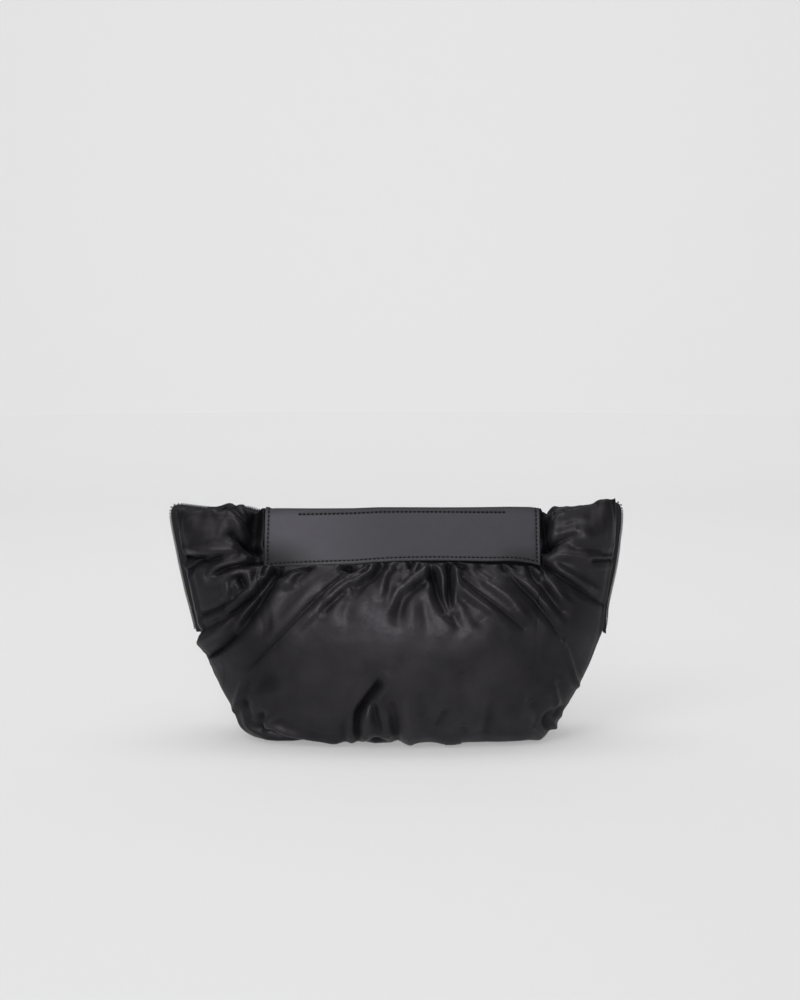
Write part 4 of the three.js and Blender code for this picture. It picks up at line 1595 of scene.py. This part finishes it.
@dataclass(frozen=True)
class Zip:
    """The closed zip: woven tape, rows of teeth, slider and pull. Sizes in millimetres."""

    pattern: Pattern
    clearance: float = 0.3
    tape_thickness: float = 1.2
    crown: float = 3.2
    side_crown: float = 2.6
    coil_height: float = 2.0
    tooth_pitch: float = 1.5
    tooth_length: float = 4.6
    tooth_half: tuple[float, float] = (0.68, 0.95)
    tooth_taper: float = 0.72
    tooth_shift: float = 0.45
    tape_step: float = 1.6
    border_start: float = 0.03

    def crowns(self, out: np.ndarray) -> np.ndarray:
        """Give the tape's rise over its edges, more on the sides than over the mouth."""
        return self.crown + self.side_crown * smoothstep(np.abs(out[:, 0]), 0.3, 0.9)

    def borders(self, finish: bpy.types.Material) -> bpy.types.Object:
        """Make the borders of the tape that lie on the panels along their side seams.

        Args:
            finish: The weave.

        Returns:
            The borders as one piece.
        """
        made = bmesh.new()
        along_all, over_all = [], []
        for side in Side:
            for end in (-1.0, 1.0):
                bmesh.ops.create_grid(made, x_segments=4, y_segments=90, size=1.0)
                fresh = made.verts[len(along_all):]
                share, down = (place_of(fresh)[:, :2].T + 1) / 2
                down = self.border_start + down * (self.pattern.zip_end - self.border_start)
                width = self.pattern.border_width(np.full(len(down), end), down)
                across = end * (1 - share * width * 2 / self.pattern.width)
                normal = self.pattern.normals(across, down)
                proud = 0.5 + 0.6 * np.sin(np.pi * np.clip(share, 0, 1))
                points = self.pattern.points(across, down) + normal * proud[:, None]
                for vert, place in zip(fresh, self.pattern.placed(points, side) * MM):
                    vert.co = place
                along_all.extend(down * PANEL_DROP)
                over_all.extend(share * width)
        lay_cloth_uv(made, np.array(along_all), np.array(over_all))
        bmesh.ops.solidify(made, geom=made.faces[:], thickness=0.5 * MM)
        bmesh.ops.recalc_face_normals(made, faces=made.faces[:])
        return make_piece(made, "zip_tape_borders", finish, ())

    def tape(self, finish: bpy.types.Material) -> bpy.types.Object:
        """Make the tape, with the fold along each side of the teeth."""
        way = self.pattern.seam_way(SeamKind.ZIP, self.tape_step)
        out = self.pattern.seam_out(way, SeamKind.ZIP)
        grid, index, share = band_along(way, 20)
        half = self.pattern.rim - self.clearance
        ridge = 0.45 * np.exp(-(((np.abs(share) - 0.46) / 0.12) ** 2))
        dip = 0.5 * np.exp(-(((np.abs(share) - 0.86) / 0.1) ** 2))
        crown = self.crowns(out)[index]
        rise = crown * (1 - share**2) + (ridge - dip) * (np.abs(share) < 0.999)
        base = np.stack([way[index, 0], share * half, way[index, 2]], axis=-1)
        shape_to(grid, self.pattern.sagged(base + out[index] * (rise - 0.1)[:, None]))
        lay_cloth_uv(grid, index * self.tape_step, share * BAND_HALF)
        face_up(grid)
        bmesh.ops.solidify(grid, geom=grid.faces[:], thickness=(self.tape_thickness - 0.2) * MM)
        return make_piece(grid, "zip_tape_woven", finish, ("zip_tape",))

    def teeth(self, finish: bpy.types.Material) -> bpy.types.Object:
        """Make the interlocked teeth along the middle of the tape."""
        way = self.pattern.seam_way(SeamKind.ZIP, self.tooth_pitch)
        out = self.pattern.seam_out(way, SeamKind.ZIP)
        crowns = self.crowns(out)
        length = self.tooth_length - 2 * self.tooth_shift
        size = Matrix.Diagonal((self.tooth_half[0] * MM, self.tooth_half[1] * MM, MM, 1.0))
        made = bmesh.new()
        for i in range(2, len(way) - 2):
            shift = self.tooth_shift if i % 2 else -self.tooth_shift
            foot = np.array([way[i, 0], shift, way[i, 2]])
            foot = foot + out[i] * (crowns[i] + 0.3 * self.coil_height)
            centre = Vector(self.pattern.sagged(foot)) * MM
            up = Vector(out[i])
            across = Vector((0.0, 1.0, 0.0))
            ahead = up.cross(across)
            turn = Matrix((ahead, up, across)).transposed().to_4x4()
            tooth = bmesh.ops.create_cone(
                made, cap_ends=True, segments=8, radius1=1.0, radius2=1.0,
                depth=length, matrix=Matrix.Translation(centre) @ turn @ size,
            )
            for vert in tooth["verts"]:
                local = vert.co - centre
                if abs(local.y) > 0.3 * self.tooth_length * MM:
                    local.x, local.z = local.x * self.tooth_taper, local.z * self.tooth_taper
                    vert.co = centre + local
        bmesh.ops.recalc_face_normals(made, faces=made.faces[:])
        return make_piece(made, "zip_teeth_row", finish, ("zip_coil",), smooth=False)

    def slider(self, finish: bpy.types.Material) -> bpy.types.Object:
        """Make the slider and its short pull, where the closed zip ends."""
        low, high = (Vector(corner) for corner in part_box("zip_slider"))
        centre, size = (low + high) / 2, high - low
        centre.x -= size.x * 0.9
        pull = centre + Vector((size.x * 0.3, 0.0, -size.z * 0.04))
        made = bmesh.new()
        for place, shares in ((centre, (0.42, 0.9, 0.8)), (pull, (0.24, 0.5, 0.86))):
            scale = [length * share for length, share in zip(size, shares)]
            seat = Matrix.Translation(place) @ Matrix.Diagonal((*scale, 1.0))
            bmesh.ops.create_cube(made, size=1.0, matrix=seat)
        bmesh.ops.bevel(
            made, geom=made.edges[:], offset=0.0005, offset_type="OFFSET", segments=3,
            profile=0.5, affect="EDGES", material=-1, clamp_overlap=True,
        )
        bmesh.ops.recalc_face_normals(made, faces=made.faces[:])
        return make_piece(made, "zip_slider_metal", finish, ("zip_slider",))


@dataclass(frozen=True)
class Gusset:
    """The woven strip round the base, drawn up by its seams. Sizes in millimetres."""

    pattern: Pattern
    clearance: float = 0.3
    thickness: float = 1.5
    crown: float = 3.0
    step: float = 1.8

    def build(self, finish: bpy.types.Material) -> bpy.types.Object:
        """Make the strip."""
        way = self.pattern.seam_way(SeamKind.GUSSET, self.step)
        out = self.pattern.seam_out(way, SeamKind.GUSSET)
        grid, index, share = band_along(way, 16)
        high = smoothstep(way[index, 2], 0, 0.2 * self.pattern.height)
        pucker = Ripple(31, (5.0, 30.0)).at(index * self.step, share * 8)
        pucker = pucker * np.abs(share) * (np.abs(share) < 0.999)
        rise = self.crown * high * (1 - share**2) + 0.5 * pucker * high
        half = self.pattern.rim - self.clearance
        base = np.stack([way[index, 0], share * half, way[index, 2]], axis=-1)
        shape_to(grid, self.pattern.sagged(base + out[index] * rise[:, None]))
        lay_cloth_uv(grid, index * self.step, share * BAND_HALF)
        face_up(grid, up=False)
        bmesh.ops.solidify(grid, geom=grid.faces[:], thickness=(self.thickness - 0.2) * MM)
        return make_piece(grid, "gusset_woven", finish, ("base_gusset",))


@dataclass(frozen=True)
class Lamp:
    """A square soft light. Sizes in metres, power in watts, spread in degrees."""

    name: str
    place: tuple[float, float, float]
    size: float
    power: float
    aim: tuple[float, float, float] = (0.0, 0.0, 0.1)
    spread: float = 180.0

    def hang(self) -> None:
        """Hang the light."""
        lamp = bpy.data.lights.new(self.name, "AREA")
        lamp.shape = "SQUARE"
        lamp.size = self.size
        lamp.energy = self.power
        lamp.spread = math.radians(self.spread)
        piece = set_out(self.name, lamp)
        piece.location = self.place
        way = Vector(self.aim) - Vector(self.place)
        piece.rotation_euler = way.to_track_quat("-Z", "Y").to_euler()
        piece.visible_camera = False


@dataclass(frozen=True)
class Studio:
    """The pale floor, the soft light and the camera. Sizes in metres."""

    sketch: Sketch
    centre: float = -0.8
    flat_radius: float = 2.4
    sweep_radius: float = 1.4
    wall_height: float = 3.6
    split: float = 0.12
    tone: float = 0.43
    glow: float = 0.304
    sensor: float = 36.0
    surrounding: float = 0.14
    lamps: tuple[Lamp, ...] = (
        Lamp("overhead", (0.0, -0.6, 2.6), 2.0, 17.0),
        Lamp("key", (-1.2, -2.2, 2.0), 1.6, 30.0),
        Lamp("fill", (0.0, -2.9, 0.85), 1.0, 3.7, spread=50.0),
        Lamp("backdrop", (0.0, 0.7, 2.9), 2.4, 50.0, aim=(0.0, 3.1, 0.9)),
    )

    def floor(self) -> None:
        """Make the round floor that sweeps up into a wall all round the bag."""
        bowl = bmesh.new()
        bend = [i / 16 * math.pi / 2 for i in range(17)]
        profile = [(0.0, 0.0), (0.6, 0.0), (1.5, 0.0)]
        flat, sweep = self.flat_radius, self.sweep_radius
        profile += [(flat + sweep * math.sin(turn), sweep * (1 - math.cos(turn))) for turn in bend]
        profile.append((flat + sweep, self.wall_height))
        verts = [bowl.verts.new((radius, self.centre, height)) for radius, height in profile]
        edges = [bowl.edges.new(pair) for pair in zip(verts, verts[1:])]
        bmesh.ops.spin(
            bowl, geom=[*verts, *edges], cent=(0.0, self.centre, 0.0), axis=(0.0, 0.0, 1.0),
            angle=2 * math.pi, steps=96, use_merge=True,
        )
        bmesh.ops.remove_doubles(bowl, verts=bowl.verts[:], dist=0.0001)
        face_up(bowl)
        wall = bowl.copy()
        for part, is_wall in ((wall, True), (bowl, False)):
            others = [f for f in part.faces if (f.calc_center_median().z >= self.split) != is_wall]
            bmesh.ops.delete(part, geom=others, context="FACES")
        self.stage_piece(bowl, "floor")
        self.stage_piece(wall, "wall").visible_glossy = False

    def stage_piece(self, shape: bmesh.types.BMesh, name: str) -> bpy.types.Object:
        """Turn a shape into a pale piece of the studio.

        Args:
            shape: Its shape, freed here.
            name: Its name.

        Returns:
            The piece.
        """
        mesh = mesh_of(shape, name)
        board = NodeBoard("pale_" + name)
        board.dress(
            Base_Color=(self.tone, self.tone, self.tone, 1.0),
            Roughness=0.95,
            Specular_IOR_Level=0.1,
            Emission_Color=(1.0, 1.0, 1.0, 1.0),
            Emission_Strength=self.glow,
        )
        mesh.materials.append(board.material)
        piece = set_out(name, mesh)
        return piece

    def surround(self) -> None:
        """Fill the studio with even light."""
        world = bpy.data.worlds.new("studio")
        world.use_nodes = True
        sky = world.node_tree.nodes["Background"]
        sky.inputs["Color"].default_value = (1.0, 1.0, 1.0, 1.0)
        sky.inputs["Strength"].default_value = self.surrounding
        bpy.context.scene.world = world

    def camera(self) -> None:
        """Set the camera where the sketch is seen from."""
        lens = bpy.data.cameras.new("camera")
        lens.sensor_fit = "AUTO"
        lens.sensor_width = self.sensor
        lens.lens = self.sketch.focal * self.sensor / self.sketch.sheet[1]
        piece = set_out("camera", lens)
        piece.location = Vector(self.sketch.eye) * MM
        piece.rotation_euler = Euler((math.radians(90 - self.sketch.look_down), 0.0, 0.0))
        bpy.context.scene.camera = piece

    def build(self) -> None:
        """Set up the studio."""
        self.camera()
        self.floor()
        self.surround()
        for lamp in self.lamps:
            lamp.hang()
        bpy.context.scene.view_settings.view_transform = "Standard"


def main() -> None:
    """Build the bag and its studio in order."""
    logging.basicConfig(level=logging.INFO, format="%(message)s")
    pattern, sketch = Pattern(), Sketch()
    satin = SatinFinish().material("satin_black")
    leather = LeatherFinish().material("leather_charcoal")
    black, moulding = (0.006, 0.006, 0.007), (0.008, 0.008, 0.009)
    thread = PlainFinish(black, (0.012, 0.012, 0.013), 0.55).material("thread_black")
    weave = HerringboneFinish().material("tape_black")
    ribbed = HerringboneFinish(light=(0.026, 0.025, 0.029), roughness=0.55).material("gusset_black")
    moulded = PlainFinish(moulding, (0.014, 0.014, 0.015), 0.38).material("teeth_black")
    gunmetal = PlainFinish(
        (0.018, 0.018, 0.019), (0.035, 0.034, 0.036), 0.34, metallic=1.0, gloss=0.5
    )
    Studio(sketch).build()
    settled = Settling().run(SatinPanel(pattern, sketch, Side.FRONT))
    for side in Side:
        SatinPanel(pattern, sketch, side).build(satin, settled)
        LeatherPanel(pattern, side).build(leather, thread)
    fastener = Zip(pattern)
    fastener.tape(weave)
    fastener.borders(weave)
    fastener.teeth(moulded)
    fastener.slider(gunmetal.material("slider_gunmetal"))
    Gusset(pattern).build(ribbed)


if __name__ == "__main__":
    main()
